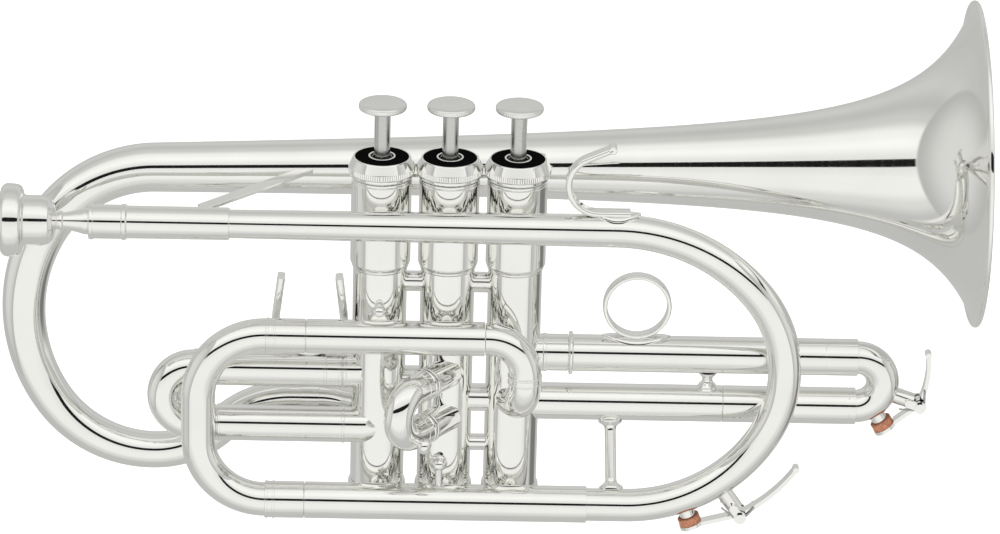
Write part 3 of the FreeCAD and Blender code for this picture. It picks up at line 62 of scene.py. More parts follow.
def low(node, axis):
    """The low side of a CAD node along an axis, 0 to 2."""
    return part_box(node)[0][axis] / MM


def high(node, axis):
    """The high side of a CAD node along an axis."""
    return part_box(node)[1][axis] / MM


def middle(node, axis):
    """Halfway between a CAD node's low and high sides."""
    return (low(node, axis) + high(node, axis)) / 2


WALL = 0.5
GAP = 0.03
PARTING = 0.3
VALVES = {valve: middle(f"valve_casing_{valve}", 0) for valve in (1, 2, 3)}
PITCH = VALVES[3] - VALVES[2]
BORE_R = 8.5
CASING_LOW_R = 9.8
CASING_TOP_R = 10.9
CASING_STEP_Z = 20
CASING_FOOT = 5.5
CASING_LIP = 4.1
CASING_BOTTOM_Z = low("valve_casing_1", 2) + CASING_FOOT
CASING_TOP_Z = high("valve_casing_1", 2) - CASING_LIP
CAP_R = 12
CAP_ROOF_Z = CASING_TOP_Z + 4.6
FELT_Z = low("cap_felts", 2)
FELT_R = 9.65
NECK_R = 4.9
NECK_BORE_R = 4.2
BOTTOM_CAP_R = 10.5
BOTTOM_CAP_Z = low("bottom_caps", 2) + 1.2
STEM_R = 2.9
BUTTON_R = 8.65
BUTTON_Z = low("finger_button_1", 2)
FRONT_Y = middle("mouthpiece", 1)
LEAD_Z = middle("mouthpiece", 2)
BELL_Y = middle("bell", 1)
BELL_Z = 49.3
BELL_TILT = math.radians(1.37)
BELL_START_X = -107
BELL_END_X = 191.7
BEAD_R = 1.1
MAIN_HIGH_R = 6.25
MAIN_LOW_R = 6.7
MAIN_BOW_R = 6.15
MAIN_BEND_R = 24.4
MAIN_HIGH_Z = high("main_slide_sleeves", 2) - MAIN_HIGH_R
MAIN_LOW_Z = low("main_slide_sleeves", 2) + MAIN_LOW_R
MAIN_BOW_X = high("main_slide_bow", 0)
MAIN_PARTING_X = low("main_slide_sleeves", 0)
MAIN_LOW_END_X = high("main_slide_sleeves", 0)
MAIN_HIGH_END_X = low("inlet_elbow", 0) - PARTING
FIRST_R = 6.6
FIRST_HIGH_Y = high("first_slide_legs", 1) - FIRST_R
FIRST_LOW_Y = low("first_slide_legs", 1) + FIRST_R
FIRST_HIGH_Z = high("first_slide_legs", 2) - FIRST_R
FIRST_LOW_Z = low("first_slide_legs", 2) + FIRST_R
FIRST_BOW_X = high("first_slide_bow", 0)
FIRST_PARTING_X = high("first_slide_legs", 0)
SECOND_TURN = math.radians(36)
SECOND_OFFSET = 6
SECOND_R = 5.6
SECOND_BOW_R = 5.4
SECOND_HIGH_Z = high("second_slide_bow", 2) - SECOND_BOW_R
SECOND_LOW_Z = low("second_slide_bow", 2) + SECOND_BOW_R
SECOND_PARTING = 22
SECOND_BOW_START = 26.5
THIRD_R = 6.75
THIRD_BOW_R = 6
THIRD_HIGH_Z = high("third_slide_bow", 2) - THIRD_BOW_R
THIRD_LOW_Z = low("third_slide_bow", 2) + THIRD_BOW_R
THIRD_BOW_X = low("third_slide_bow", 0)
THIRD_HIGH_PARTING_X = low("third_slide_sleeve", 0) - PARTING
THIRD_LOW_PARTING_X = 101.5
RING_X = middle("finger_ring", 0)
RING_R = 12.5
RING_BORE_R = 10.95
RING_WIDTH = 5
MOUTHPIECE_X = low("mouthpiece", 0)
RECEIVER_X = low("mouthpiece_receiver", 0)
LEAD_X = low("leadpipe", 0)
BEND_X = 60
LEAD_FIRST_R = 5.1
BEND_TUBE_R = 6
CROOK_END_R = 6.75
TAIL_Z = -38.1
PORT_R = 4.6
KNUCKLE_Z = middle("valve_knuckles", 2)
KNUCKLE_STAGGER = 3.35

BELL_HEADING = Vector((math.cos(BELL_TILT), 0, math.sin(BELL_TILT)))
BELL_START = Vector((BELL_START_X, BELL_Y, BELL_Z + BELL_START_X * math.tan(BELL_TILT)))
BELL_LENGTH = (BELL_END_X - BELL_START_X) / math.cos(BELL_TILT)
SECOND_WAY = Vector((-math.sin(SECOND_TURN), -math.cos(SECOND_TURN), 0))


def bell_radius(from_rim):
    """The bell's outer radius at a distance from its rim: a long taper and a flare."""
    taper = 8.06 - 0.00524 * from_rim
    flare = 1985 / (from_rim + 23.94) ** 1.1556
    return taper + flare


# ---------------- materials

def shader(name, metallic, roughness, color):
    material = bpy.data.materials.new(name)
    material.use_nodes = True
    tree = material.node_tree
    surface = tree.nodes["Principled BSDF"]
    for socket, value in (("Metallic", metallic), ("Roughness", roughness), ("Base Color", (*color, 1))):
        surface.inputs[socket].default_value = value
    return material, tree, surface


def add(tree, kind, **values):
    node = tree.nodes.new(kind)
    for key, value in values.items():
        if key in node.inputs:
            node.inputs[key].default_value = value
        else:
            setattr(node, key, value)
    return node


def object_position(tree, stretch=(1, 1, 1)):
    """Positions on the piece, stretched, for a texture to follow."""
    place = add(tree, "ShaderNodeTexCoord")
    mapping = add(tree, "ShaderNodeMapping", Scale=stretch)
    tree.links.new(place.outputs["Object"], mapping.inputs["Vector"])
    return mapping.outputs["Vector"]


def noise(tree, scale, detail=3, stretch=(1, 1, 1)):
    node = add(tree, "ShaderNodeTexNoise", Scale=scale, Detail=detail)
    tree.links.new(object_position(tree, stretch), node.inputs["Vector"])
    return node.outputs["Fac"]


def remap(tree, value, start, end, least=0, most=1, kind="LINEAR"):
    """least where value is start or less, and most where it is end or more."""
    node = add(tree, "ShaderNodeMapRange", interpolation_type=kind)
    for name, number in (("From Min", start), ("From Max", end), ("To Min", least), ("To Max", most)):
        node.inputs[name].default_value = number
    tree.links.new(value, node.inputs["Value"])
    return node.outputs["Result"]


def spread(tree, value, least, most):
    """A texture's value, spread from least to most."""
    return remap(tree, value, 0.3, 0.7, least, most)


def between(tree, value, first, second, start=0.3, end=0.7):
    """A colour from first to second that follows a texture's value."""
    ramp = add(tree, "ShaderNodeValToRGB")
    for stop, position, color in zip(ramp.color_ramp.elements, (start, end), (first, second)):
        stop.position = position
        stop.color = (*color, 1)
    tree.links.new(value, ramp.inputs["Fac"])
    return ramp.outputs["Color"]


def bump(tree, surface, value, strength, distance):
    node = add(tree, "ShaderNodeBump", Strength=strength, Distance=distance)
    tree.links.new(value, node.inputs["Height"])
    tree.links.new(node.outputs["Normal"], surface.inputs["Normal"])


def silver_plate():
    """Mirror silver: a faint cloud of handling, fine polishing hairlines, and slight unevenness."""
    material, tree, surface = shader("silver_plate", 1, 0.05, (0.93, 0.93, 0.9))
    cloud = noise(tree, 38, 4)
    tree.links.new(between(tree, cloud, (0.94, 0.94, 0.915), (0.9, 0.9, 0.872)), surface.inputs["Base Color"])
    hairlines = noise(tree, 900, 2, (1, 0.08, 0.08))
    tree.links.new(spread(tree, hairlines, 0.035, 0.085), surface.inputs["Roughness"])
    bump(tree, surface, noise(tree, 55, 2), 0.02, 0.0004)
    return material


def satin_silver():
    """Silver worn soft by fingers."""
    material, tree, surface = shader("satin_silver", 1, 0.3, (0.85, 0.85, 0.83))
    cloud = noise(tree, 160, 4)
    tree.links.new(between(tree, cloud, (0.9, 0.9, 0.88), (0.87, 0.87, 0.85)), surface.inputs["Base Color"])
    tree.links.new(spread(tree, noise(tree, 420, 3), 0.16, 0.24), surface.inputs["Roughness"])
    bump(tree, surface, noise(tree, 2200, 2), 0.015, 0.00005)
    return material


def turned_metal(name, dark, light, rough_low, rough_high):
    """Lathe-turned metal with fine rings across its axis, which is upright."""
    material, tree, surface = shader(name, 1, rough_low, light)
    rings = noise(tree, 500, 3, (0.06, 0.06, 6))
    tree.links.new(between(tree, rings, dark, light), surface.inputs["Base Color"])
    tree.links.new(spread(tree, rings, rough_low, rough_high), surface.inputs["Roughness"])
    bump(tree, surface, rings, 0.02, 0.00003)
    return material


def felt():
    material, tree, surface = shader("black_felt", 0, 0.95, (0.012, 0.012, 0.012))
    fibres = noise(tree, 2600, 5)
    shade = between(tree, fibres, (0.001, 0.001, 0.001), (0.004, 0.004, 0.004))
    tree.links.new(shade, surface.inputs["Base Color"])
    surface.inputs["Specular IOR Level"].default_value = 0.02
    bump(tree, surface, fibres, 0.4, 0.0002)
    return material


def cork():
    material, tree, surface = shader("cork", 0, 0.8, (0.45, 0.2, 0.12))
    grain = add(tree, "ShaderNodeTexVoronoi", Scale=1500)
    tree.links.new(object_position(tree), grain.inputs["Vector"])
    shade = between(tree, grain.outputs["Distance"], (0.62, 0.27, 0.16), (0.4, 0.17, 0.1), 0.25, 0.75)
    tree.links.new(shade, surface.inputs["Base Color"])
    surface.inputs["Specular IOR Level"].default_value = 0.3
    bump(tree, surface, grain.outputs["Distance"], 0.5, 0.0002)
    return material


MATERIALS = {
    "silver_plate": silver_plate(),
    "button_silver": satin_silver(),
    "stem_nickel": turned_metal("stem_nickel", (0.6, 0.6, 0.59), (0.66, 0.66, 0.64), 0.2, 0.28),
    "piston_alloy": turned_metal("piston_alloy", (0.58, 0.57, 0.54), (0.7, 0.69, 0.66), 0.16, 0.3),
    "spring_steel": turned_metal("spring_steel", (0.42, 0.42, 0.42), (0.6, 0.6, 0.6), 0.2, 0.35),
    "black_felt": felt(),
    "cork": cork(),
}


# ---------------- meshes

def in_scene(name, data):
    item = bpy.data.objects.new(name, data)
    bpy.context.scene.collection.objects.link(item)
    return item


def set_normals(item, sharp):
    """Smooth shading that breaks at edges sharper than an angle, weighted by the faces' sizes."""
    item.data.set_sharp_from_angle(angle=math.radians(sharp))
    weighted = item.modifiers.new("normals", "WEIGHTED_NORMAL")
    weighted.keep_sharp = True


class Mesh:
    """Points and faces gathered from several shapes."""

    def __init__(self):
        self.points = []
        self.faces = []

    def rings(self, rings, joined=False, capped=False):
        """Join rings of equal counts; the last can also be joined to the first, or both capped."""
        start = len(self.points)
        count = len(rings[0])
        for ring in rings:
            self.points.extend(tuple(point) for point in ring)
        last = len(rings) if joined else len(rings) - 1
        for row in range(last):
            here = start + row * count
            there = start + (row + 1) % len(rings) * count
            for index in range(count):
                after = (index + 1) % count
                self.faces.append((here + index, here + after, there + after, there + index))
        if capped:
            self.faces.append(tuple(start + index for index in reversed(range(count))))
            row = start + (len(rings) - 1) * count
            self.faces.append(tuple(row + index for index in range(count)))
        return self

    def merge(self, other):
        start = len(self.points)
        self.points.extend(other.points)
        self.faces.extend(tuple(index + start for index in face) for face in other.faces)

    def shape(self, name, body, node, slot="silver_plate", sharp=38):
        """A piece made from the points, in millimetres, which rides on a body and replaces a CAD node."""
        mesh = bpy.data.meshes.new(name)
        mesh.from_pydata([tuple(point) for point in np.asarray(self.points, float) * MM], [], self.faces)
        mesh.validate()
        mesh.shade_smooth()
        mesh.materials.append(MATERIALS[slot])
        item = in_scene(name, mesh)
        set_normals(item, sharp)
        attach(item, body)
        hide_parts(node)
        return item


def basis(direction):
    """Two unit vectors square to a direction; the second points up, or right if the direction does."""
    direction = Vector(direction).normalized()
    hint = Vector(UP)
    if abs(direction.dot(hint)) > 0.95:
        hint = Vector(RIGHT)
    up = (hint - direction * hint.dot(direction)).normalized()
    return direction.cross(up), up


def soften(outline, size, closed):
    """Round each corner of an outline of radius and height with a small curve."""
    steps = 4
    outline = [np.array(point, float) for point in outline]
    count = len(outline)
    result = []
    for index, corner in enumerate(outline):
        if not closed and index in (0, count - 1):
            result.append(corner)
            continue
        before = outline[index - 1]
        after = outline[(index + 1) % count]
        back = np.linalg.norm(before - corner)
        ahead = np.linalg.norm(after - corner)
        cut = min(size, back * 0.45, ahead * 0.45)
        first = corner + (before - corner) / back * cut
        last = corner + (after - corner) / ahead * cut
        for part in np.linspace(0, 1, steps + 1):
            result.append(first * (1 - part) ** 2 + corner * 2 * part * (1 - part) + last * part ** 2)
    return result


def turned(outline, base, direction=UP, around=72, soft=0.25, knurls=()):
    """A mesh turned about an axis. An outline that starts or ends at radius 0 is closed there.

    A knurl is (low, high, count, depth): ridges between two heights on the outermost surface.
    """
    axis_ends = outline[0][0] == 0 or outline[-1][0] == 0
    profile = soften(outline, soft, closed=not axis_ends) if soft else [np.array(p, float) for p in outline]
    base = np.array(base, float)
    way = np.array(Vector(direction).normalized())
    side, up = [np.array(vector) for vector in basis(direction)]
    angles = np.linspace(0, 2 * math.pi, around, endpoint=False)
    circle = np.outer(np.cos(angles), side) + np.outer(np.sin(angles), up)
    knurled_from = max(radius for radius, height in outline) - 1.2
    rings = []
    for radius, height in profile:
        reach = np.full(around, max(radius, 1e-4))
        for first, last, ridges, depth in knurls:
            if first <= height <= last and radius > knurled_from:
                reach = reach - depth * (0.5 + 0.5 * np.cos(angles * ridges))
        rings.append(base + way * height + circle * reach[:, None])
    return Mesh().rings(rings, joined=not axis_ends, capped=axis_ends)


def along_x(outline, base, soft=0.15, around=72):
    return turned(outline, base, RIGHT, around, soft)


def peg(radius, length, base, way, soft=0.3):
    """A solid round bar."""
    return turned([(0, 0), (radius, 0), (radius, length), (0, length)], base, way, 48, soft)


def pipe_outline(outer, inner, length):
    return [(inner, 0), (outer, 0), (outer, length), (inner, length)]


def leg_outline(outer, leg_r, collar, length):
    """A slide's leg: as thick as its sleeve for the collar's length, and thinner after it."""
    inner = leg_r - WALL
    return [(inner, 0), (outer, 0), (outer, collar), (leg_r, collar), (leg_r, length), (inner, length)]


def bands_x(places, row, tube_r, height, width):
    """Raised bands at several X on a tube along X, at the row's Y and Z."""
    mesh = Mesh()
    for x in places:
        mesh.merge(ring_band((x, *row), RIGHT, tube_r, height, width))
    return mesh


class Path:
    """Straight runs and tangent arcs in space, with evenly carried side vectors."""

    def __init__(self, start, heading):
        self.point = Vector(start)
        self.heading = Vector(heading).normalized()
        side, up = basis(heading)
        self.frames = [(self.point.copy(), self.heading.copy(), side, up)]
        self.reach = [0]

    def _step(self, point, heading, length):
        last_heading = self.frames[-1][1]
        turn = last_heading.rotation_difference(heading)
        side, up = [turn @ vector for vector in self.frames[-1][2:]]
        self.frames.append((point.copy(), heading.copy(), side, up))
        self.reach.append(self.reach[-1] + length)

    def run(self, length, pieces=1):
        for _ in range(pieces):
            self.point = self.point + self.heading * (length / pieces)
            self._step(self.point, self.heading, length / pieces)
        return self

    def bend(self, radius, degrees, towards, step=1.5):
        towards = Vector(towards)
        side = (towards - self.heading * towards.dot(self.heading)).normalized()
        centre = self.point + side * radius
        first = self.heading.copy()
        count = max(4, int(round(degrees / step)))
        for index in range(1, count + 1):
            turn = math.radians(degrees) * index / count
            self.point = centre + (first * math.sin(turn) - side * math.cos(turn)) * radius
            self.heading = first * math.cos(turn) + side * math.sin(turn)
            self._step(self.point, self.heading, math.radians(degrees) * radius / count)
        return self

    def rings(self, radius, around):
        """Rings along the path; radius is a number or a function of the share of the path."""
        angles = np.linspace(0, 2 * math.pi, around, endpoint=False)
        result = []
        for (point, _, side, up), reach in zip(self.frames, self.reach):
            size = radius(reach / self.reach[-1]) if callable(radius) else radius
            circle = np.outer(np.cos(angles), np.array(side)) + np.outer(np.sin(angles), np.array(up))
            result.append(np.array(point) + circle * size)
        return result

    def pipe(self, outer, inner, around=72):
        outside = self.rings(outer, around)
        inside = self.rings(inner, around)
        return Mesh().rings(outside + inside[::-1], joined=True)

    def tube(self, outer, around=72):
        """A pipe with the usual wall."""
        def inner(share):
            return (outer(share) if callable(outer) else outer) - WALL

        return self.pipe(outer, inner, around)

    def strip(self, width, thickness, across, round_over):
        """A flat bar with rounded edges along the path; across is the direction of its width."""
        across = np.array(Vector(across).normalized())
        half_w, half_t = width / 2, thickness / 2
        corner = min(round_over, half_t * 0.9)
        section = []
        for sign_w, sign_t, start in ((1, 1, 0), (-1, 1, 90), (-1, -1, 180), (1, -1, 270)):
            for part in range(5):
                turn = math.radians(start + 90 * part / 4)
                section.append((
                    sign_w * (half_w - corner) + math.cos(turn) * corner,
                    sign_t * (half_t - corner) + math.sin(turn) * corner))
        rings = []
        for point, heading, _, _ in self.frames:
            normal = np.cross(np.array(heading), across)
            rings.append([np.array(point) + across * w + normal * t for w, t in section])
        return Mesh().rings(rings, capped=True)


def ring_band(centre, direction, tube_r, height, width, around=72):
    """A thin raised band round a tube, with soft shoulders."""
    return turned([
        (tube_r - 0.15, -width / 2), (tube_r + height * 0.6, -width / 2), (tube_r + height, -width / 4),
        (tube_r + height, width / 4), (tube_r + height * 0.6, width / 2), (tube_r - 0.15, width / 2),
    ], centre, direction, around, soft=height * 0.5)


def wall_ring(centre, sign, tube_r, casing_x):
    """A ring sunk into a casing's wall, where a tube along X would come out on its far side."""
    around = 72
    size = -0.9
    way = Vector((sign, 0, 0))
    side, up = basis(way)
    rings = [[], [], [], []]
    for index in range(around):
        turn = 2 * math.pi * index / around
        out = side * math.cos(turn) + up * math.sin(turn)
        start = Vector(centre) + out * tube_r
        flat = Vector((start.x - casing_x, start.y, 0))
        ahead = flat.dot(way)
        reach = math.sqrt(ahead * ahead - (flat.dot(flat) - CASING_LOW_R * CASING_LOW_R)) - ahead
        corner = start + way * reach
        normal = Vector((corner.x - casing_x, corner.y, 0)).normalized()
        over = (out - normal * out.dot(normal)).normalized()
        rings[0].append(corner + over * size - normal * 0.03)
        rings[1].append(corner + over * size * 0.36 + normal * size * 0.1)
        rings[2].append(corner + way * size * 0.36 + out * size * 0.08)
        rings[3].append(corner + way * size - out * 0.03)
    return Mesh().rings(rings)


# ---------------- valves

def make_casing(valve, base):
    """A stepped tube: a thin foot for the bottom cap, a wider upper part, a thin lip for the top cap."""
    foot_r, low_r, top_r, lip_r = 9.2, CASING_LOW_R, CASING_TOP_R, 10.2
    foot_z, step_z, top_z, lip_z = CASING_BOTTOM_Z - CASING_FOOT, CASING_STEP_Z, CASING_TOP_Z, 58.4
    casing = turned([
        (BORE_R, foot_z), (foot_r, foot_z), (foot_r, CASING_BOTTOM_Z), (low_r, CASING_BOTTOM_Z),
        (low_r, step_z - 0.6), (low_r + 0.45, step_z - 0.3), (low_r + 0.45, step_z + 0.4),
        (top_r - 0.25, step_z + 1.1), (top_r, step_z + 1.8), (top_r, top_z - 1.4),
        (top_r - 0.12, top_z - 1.1), (top_r, top_z - 0.8), (top_r, top_z), (lip_r, top_z), (lip_r, lip_z),
        (BORE_R, lip_z),
    ], base, around=96)
    casing.shape(f"casing_{valve}", "root", f"valve_casing_{valve}")


def make_top_cap(valve, base):
    """A knurled cap with a neck for the stem and a seat for the felt."""
    edge = FELT_Z + 1.2
    skirt = CASING_TOP_Z + PARTING
    cap = turned([
        (NECK_BORE_R, CAP_ROOF_Z), (10.3, CAP_ROOF_Z), (10.3, skirt), (CAP_R - 0.9, skirt),
        (CAP_R - 0.5, skirt + 0.5), (CAP_R - 0.5, skirt + 1.5), (CAP_R, skirt + 1.9),
        (CAP_R, skirt + 2.3), (CAP_R, CAP_ROOF_Z - 0.5), (CAP_R - 0.25, CAP_ROOF_Z),
        (FELT_R + 0.7, edge - 0.25), (FELT_R + 0.45, edge), (FELT_R + 0.05, edge),
        (FELT_R + 0.05, FELT_Z), (NECK_R, FELT_Z), (NECK_R, edge + 0.3), (NECK_BORE_R, edge + 0.3),
    ], base, around=360, soft=0.18, knurls=((skirt + 1.95, CAP_ROOF_Z - 0.45, 90, 0.22),))
    cap.shape(f"cap_{valve}", "root", f"top_cap_{valve}")


def bottom_cap(base):
    """A knurled cap with a small nipple under it."""
    floor_z = BOTTOM_CAP_Z
    top = CASING_BOTTOM_Z - PARTING
    rim = BOTTOM_CAP_R
    return turned([
        (0, floor_z - 1.2), (2.6, floor_z - 1.2), (3.2, floor_z - 0.6), (3.2, floor_z), (rim - 1.5, floor_z),
        (rim - 0.3, floor_z + 1.2), (rim - 0.3, floor_z + 2.6), (rim, floor_z + 3), (rim, floor_z + 3.3),
        (rim, top - 1.3), (rim, top - 1), (rim - 0.4, top), (9.25, top), (9.25, floor_z + 1.8),
        (0, floor_z + 1.8),
    ], base, around=360, soft=0.2, knurls=((floor_z + 3.1, top - 1.2, 90, 0.2),))


def make_valves():
    bottoms = Mesh()
    for valve, x in VALVES.items():
        base = (x, 0, 0)
        make_casing(valve, base)
        make_top_cap(valve, base)
        bottoms.merge(bottom_cap(base))
    bottoms.shape("bottom_caps_turned", "root", "bottom_caps")


def make_felts():
    felts = Mesh()
    for x in VALVES.values():
        felts.merge(turned([
            (NECK_R + 0.05, 0), (FELT_R, 0), (FELT_R, 1.15), (FELT_R - 0.35, 1.3), (NECK_R + 0.4, 1.3),
            (NECK_R + 0.05, 1.15),
        ], (x, 0, FELT_Z), around=96, soft=0.2))
    felts.shape("felts", "root", "cap_felts", slot="black_felt")


def make_button(valve, x):
    under = BUTTON_Z
    rim = BUTTON_R
    button = turned([
        (0, under + 1.45), (1.52, under + 1.45), (1.52, under), (3.9, under), (rim - 1.2, under + 0.05),
        (rim - 0.35, under + 0.25), (rim, under + 0.7), (rim, under + 1.9),
        (rim - 0.35, under + 2.4), (rim - 1.2, under + 2.72), (rim - 2.4, under + 2.85),
        (3.2, under + 2.92), (0, under + 2.94),
    ], (x, 0, 0), around=360, soft=0.4, knurls=((under + 0.6, under + 2, 72, 0.12),))
    button.shape(f"button_{valve}", f"piston_{valve}", f"finger_button_{valve}", "button_silver")


def make_stem(valve, x):
    """The stem's thin foot screws into the piston, and its thin top into the button."""
    foot_z = 55.3
    shoulder_z = 58.3
    foot_r = 1.95
    top_r = 1.5
    top_z = BUTTON_Z + 1.4
    stem = turned([
        (0, foot_z), (foot_r, foot_z), (foot_r, shoulder_z), (STEM_R, shoulder_z), (STEM_R, BUTTON_Z - 0.5),
        (STEM_R, BUTTON_Z), (top_r, BUTTON_Z), (top_r, top_z), (0, top_z),
    ], (x, 0, 0), around=64, soft=0.15)
    stem.shape(f"stem_{valve}", f"piston_{valve}", f"valve_stem_{valve}", "stem_nickel")


def make_springs():
    """Each valve's compression spring: a coil standing on the bottom cap, as long as its CAD node."""
    wire_r = 0.45
    turns = 7
    per_turn = 36
    wire_turns = [2 * math.pi * side / 12 for side in range(12)]
    for valve, x in VALVES.items():
        node = f"valve_spring_{valve}"
        floor_z = low(node, 2)
        length = high(node, 2) - floor_z
        radius = (high(node, 0) - low(node, 0)) / 2 - wire_r
        pitch = (length - 2 * wire_r) / turns
        lean = math.atan2(pitch, 2 * math.pi * radius)
        rings = []
        for step in range(turns * per_turn + 1):
            turn = 2 * math.pi * step / per_turn
            out = np.array((math.cos(turn), math.sin(turn), 0))
            across = np.array((
                math.sin(turn) * math.sin(lean), -math.cos(turn) * math.sin(lean), math.cos(lean)))
            centre = np.array((x, 0, floor_z + wire_r + pitch * step / per_turn)) + out * radius
            rings.append([
                centre + (out * math.cos(angle) + across * math.sin(angle)) * wire_r for angle in wire_turns])
        coil = Mesh().rings(rings, capped=True)
        spring = coil.shape(f"spring_{valve}", "root", node, slot="spring_steel")
        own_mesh(spring)


def between_casings(pair, radius, height):
    """A round piece along X that fills the gap between two casings, its ends following them."""
    around = 64
    overlap = 0.05
    centre_x = (VALVES[pair[0]] + VALVES[pair[1]]) / 2
    rings = []
    for share in (-1, -0.96, -0.5, 0, 0.5, 0.96, 1):
        ring = []
        for index in range(around):
            turn = 2 * math.pi * index / around
            y = radius * math.sin(turn)
            z = height + radius * math.cos(turn)
            half = PITCH / 2 - math.sqrt(CASING_LOW_R ** 2 - y ** 2) + overlap
            ring.append((centre_x + share * half, y, z))
        rings.append(ring)
    mesh = Mesh().rings(rings, capped=True)
    for sign, valve in zip((-1, 1), pair):
        mesh.merge(wall_ring((centre_x, 0, height), sign, radius, VALVES[valve]))
    return mesh


def make_knuckles():
    knuckles = Mesh()
    for pair, height in (((1, 2), KNUCKLE_Z + KNUCKLE_STAGGER), ((2, 3), KNUCKLE_Z - KNUCKLE_STAGGER)):
        knuckles.merge(between_casings(pair, PORT_R + WALL, height))
    knuckles.shape("knuckles", "root", "valve_knuckles")


def make_ties():
    """A thick tie high up and a thin one low down between each two casings."""
    ties = Mesh()
    for pair in ((1, 2), (2, 3)):
        for radius, height in ((3.8, 13.5), (3.1, -50.2)):
            ties.merge(between_casings(pair, radius, height))
    ties.shape("ties", "root", "casing_ties")


make_valves()
make_felts()
for valve, x in VALVES.items():
    make_button(valve, x)
    make_stem(valve, x)
make_springs()
make_knuckles()
make_ties()


# ---------------- mouthpiece, receiver, leadpipe

def make_mouthpiece():
    """From the rim along the outside to the shank, and back up the throat to the cup."""
    outline = [
        (8.3, 0.2), (9, 0), (10.4, 0.12), (11.6, 0.5), (12.5, 1.15), (12.9, 1.7), (13.15, 2.6),
        (13.15, 3.4), (12.9, 6.2), (12.3, 7.6), (11, 8.2), (9.4, 8.5), (9, 9.4), (9, 15), (8.4, 17.4),
        (6.6, 19.2), (3.5, 19.9), (3, 20.6), (3.3, 21), (3.55, 21.4), (3.55, 22), (3.3, 22.4), (3, 22.8),
        (3.3, 24.5), (4.2, 28.5), (4.75, 30), (4.75, 31.2), (4.7, 31.3), (4.25, 52), (3.3, 52),
        (1.9, 24), (1.9, 15.5), (3.2, 14.6), (4.6, 13.2), (6.9, 9.6), (7.7, 5), (7.9, 1.4),
    ]
    mesh = along_x(outline, (MOUTHPIECE_X, FRONT_Y, LEAD_Z), 0.6, 120)
    mesh.shape("mouthpiece_turned", "mouthpiece", "mouthpiece")


def make_receiver():
    """Beaded at both ends of its thick part, with a taper inside for the shank."""
    mesh = along_x([
        (4.75, 0), (6.1, 0), (6.5, 0.4), (6.5, 1.4), (6.15, 2), (6.15, 11.6), (6.5, 12.2), (6.5, 13.2),
        (6.1, 13.6), (5.9, 13.9), (5.85, 49.4), (5.75, 50), (5.6, 50.3), (5.15, 50.3), (5.15, 45.9),
        (4.5, 45.9), (4.35, 21.3), (4.3, 20.3),
    ], (RECEIVER_X, FRONT_Y, LEAD_Z), 0.25, 96)
    mesh.shape("receiver", "root", "mouthpiece_receiver")


# The D bend is three arcs, and the last one's radius brings it level with the lower main tube.
D_TURNS = (50.8, 66.3, 62.9)
COSINES = [math.cos(math.radians(sum(D_TURNS[:count]))) for count in (1, 2)]
D_RADII = [67, 48.2]
D_DROP = LEAD_Z - MAIN_LOW_Z - D_RADII[0] * (1 - COSINES[0]) - D_RADII[1] * (COSINES[0] - COSINES[1])
D_RADII.append(D_DROP / (COSINES[1] + 1))


def make_leadpipe():
    """A taper up to the D bend, which ends inside the lower main sleeve."""
    in_sleeve = 12
    path = Path((LEAD_X, FRONT_Y, LEAD_Z), RIGHT)
    path.run(BEND_X - LEAD_X, 4)
    straight = path.reach[-1]
    for radius, turn, towards in zip(D_RADII, D_TURNS, (DOWN, LEFT, LEFT)):
        path.bend(radius, turn, towards, 1.2)
    path.run(path.point.x - MAIN_LOW_END_X + in_sleeve, 2)
    total = path.reach[-1]

    def outer(share):
        return LEAD_FIRST_R + (BEND_TUBE_R - LEAD_FIRST_R) * min(share * total / straight, 1)

    path.tube(outer).shape("leadpipe_bent", "root", "leadpipe")


make_mouthpiece()
make_receiver()
make_leadpipe()


# ---------------- main tuning slide

def make_main_slide():
    """Each leg stops short of its sleeve's end; the lower sleeve also takes the leadpipe's end."""
    sleeves = Mesh()
    legs = Mesh()
    pipe_r = BEND_TUBE_R + 0.02
    pipe_depth = 12.6
    for height, outer, end, short in (
            (MAIN_HIGH_Z, MAIN_HIGH_R, MAIN_HIGH_END_X, 3), (MAIN_LOW_Z, MAIN_LOW_R, MAIN_LOW_END_X, 22)):
        bore = outer - WALL
        length = end - MAIN_PARTING_X
        base = (MAIN_PARTING_X, FRONT_Y, height)
        outline = pipe_outline(outer, bore, length)
        if height == MAIN_LOW_Z:
            outline = [
                (bore, 0), (outer, 0), (outer, length), (pipe_r, length),
                (pipe_r, length - pipe_depth), (bore, length - pipe_depth),
            ]
        sleeves.merge(along_x(outline, base))
        leg_r = bore - GAP
        collar = MAIN_PARTING_X - MAIN_BOW_X - PARTING
        reach = end - MAIN_BOW_X - short
        legs.merge(along_x(leg_outline(outer, leg_r, collar, reach), (MAIN_BOW_X, FRONT_Y, height)))
        legs.merge(bands_x((MAIN_BOW_X + 0.6, MAIN_BOW_X + 3.2), (FRONT_Y, height), outer, 0.2, 0.9))
    sleeves.shape("main_sleeves", "root", "main_slide_sleeves")
    legs.shape("main_legs", "main_slide", "main_slide_legs")

    path = Path((MAIN_BOW_X, FRONT_Y, MAIN_LOW_Z), LEFT)
    path.bend(MAIN_BEND_R, 90, UP, 2)
    path.run(MAIN_HIGH_Z - MAIN_LOW_Z - 2 * MAIN_BEND_R, 2)
    path.bend(MAIN_BEND_R, 90, RIGHT, 2)
    path.tube(MAIN_BOW_R).shape("main_bow", "main_slide", "main_slide_bow")


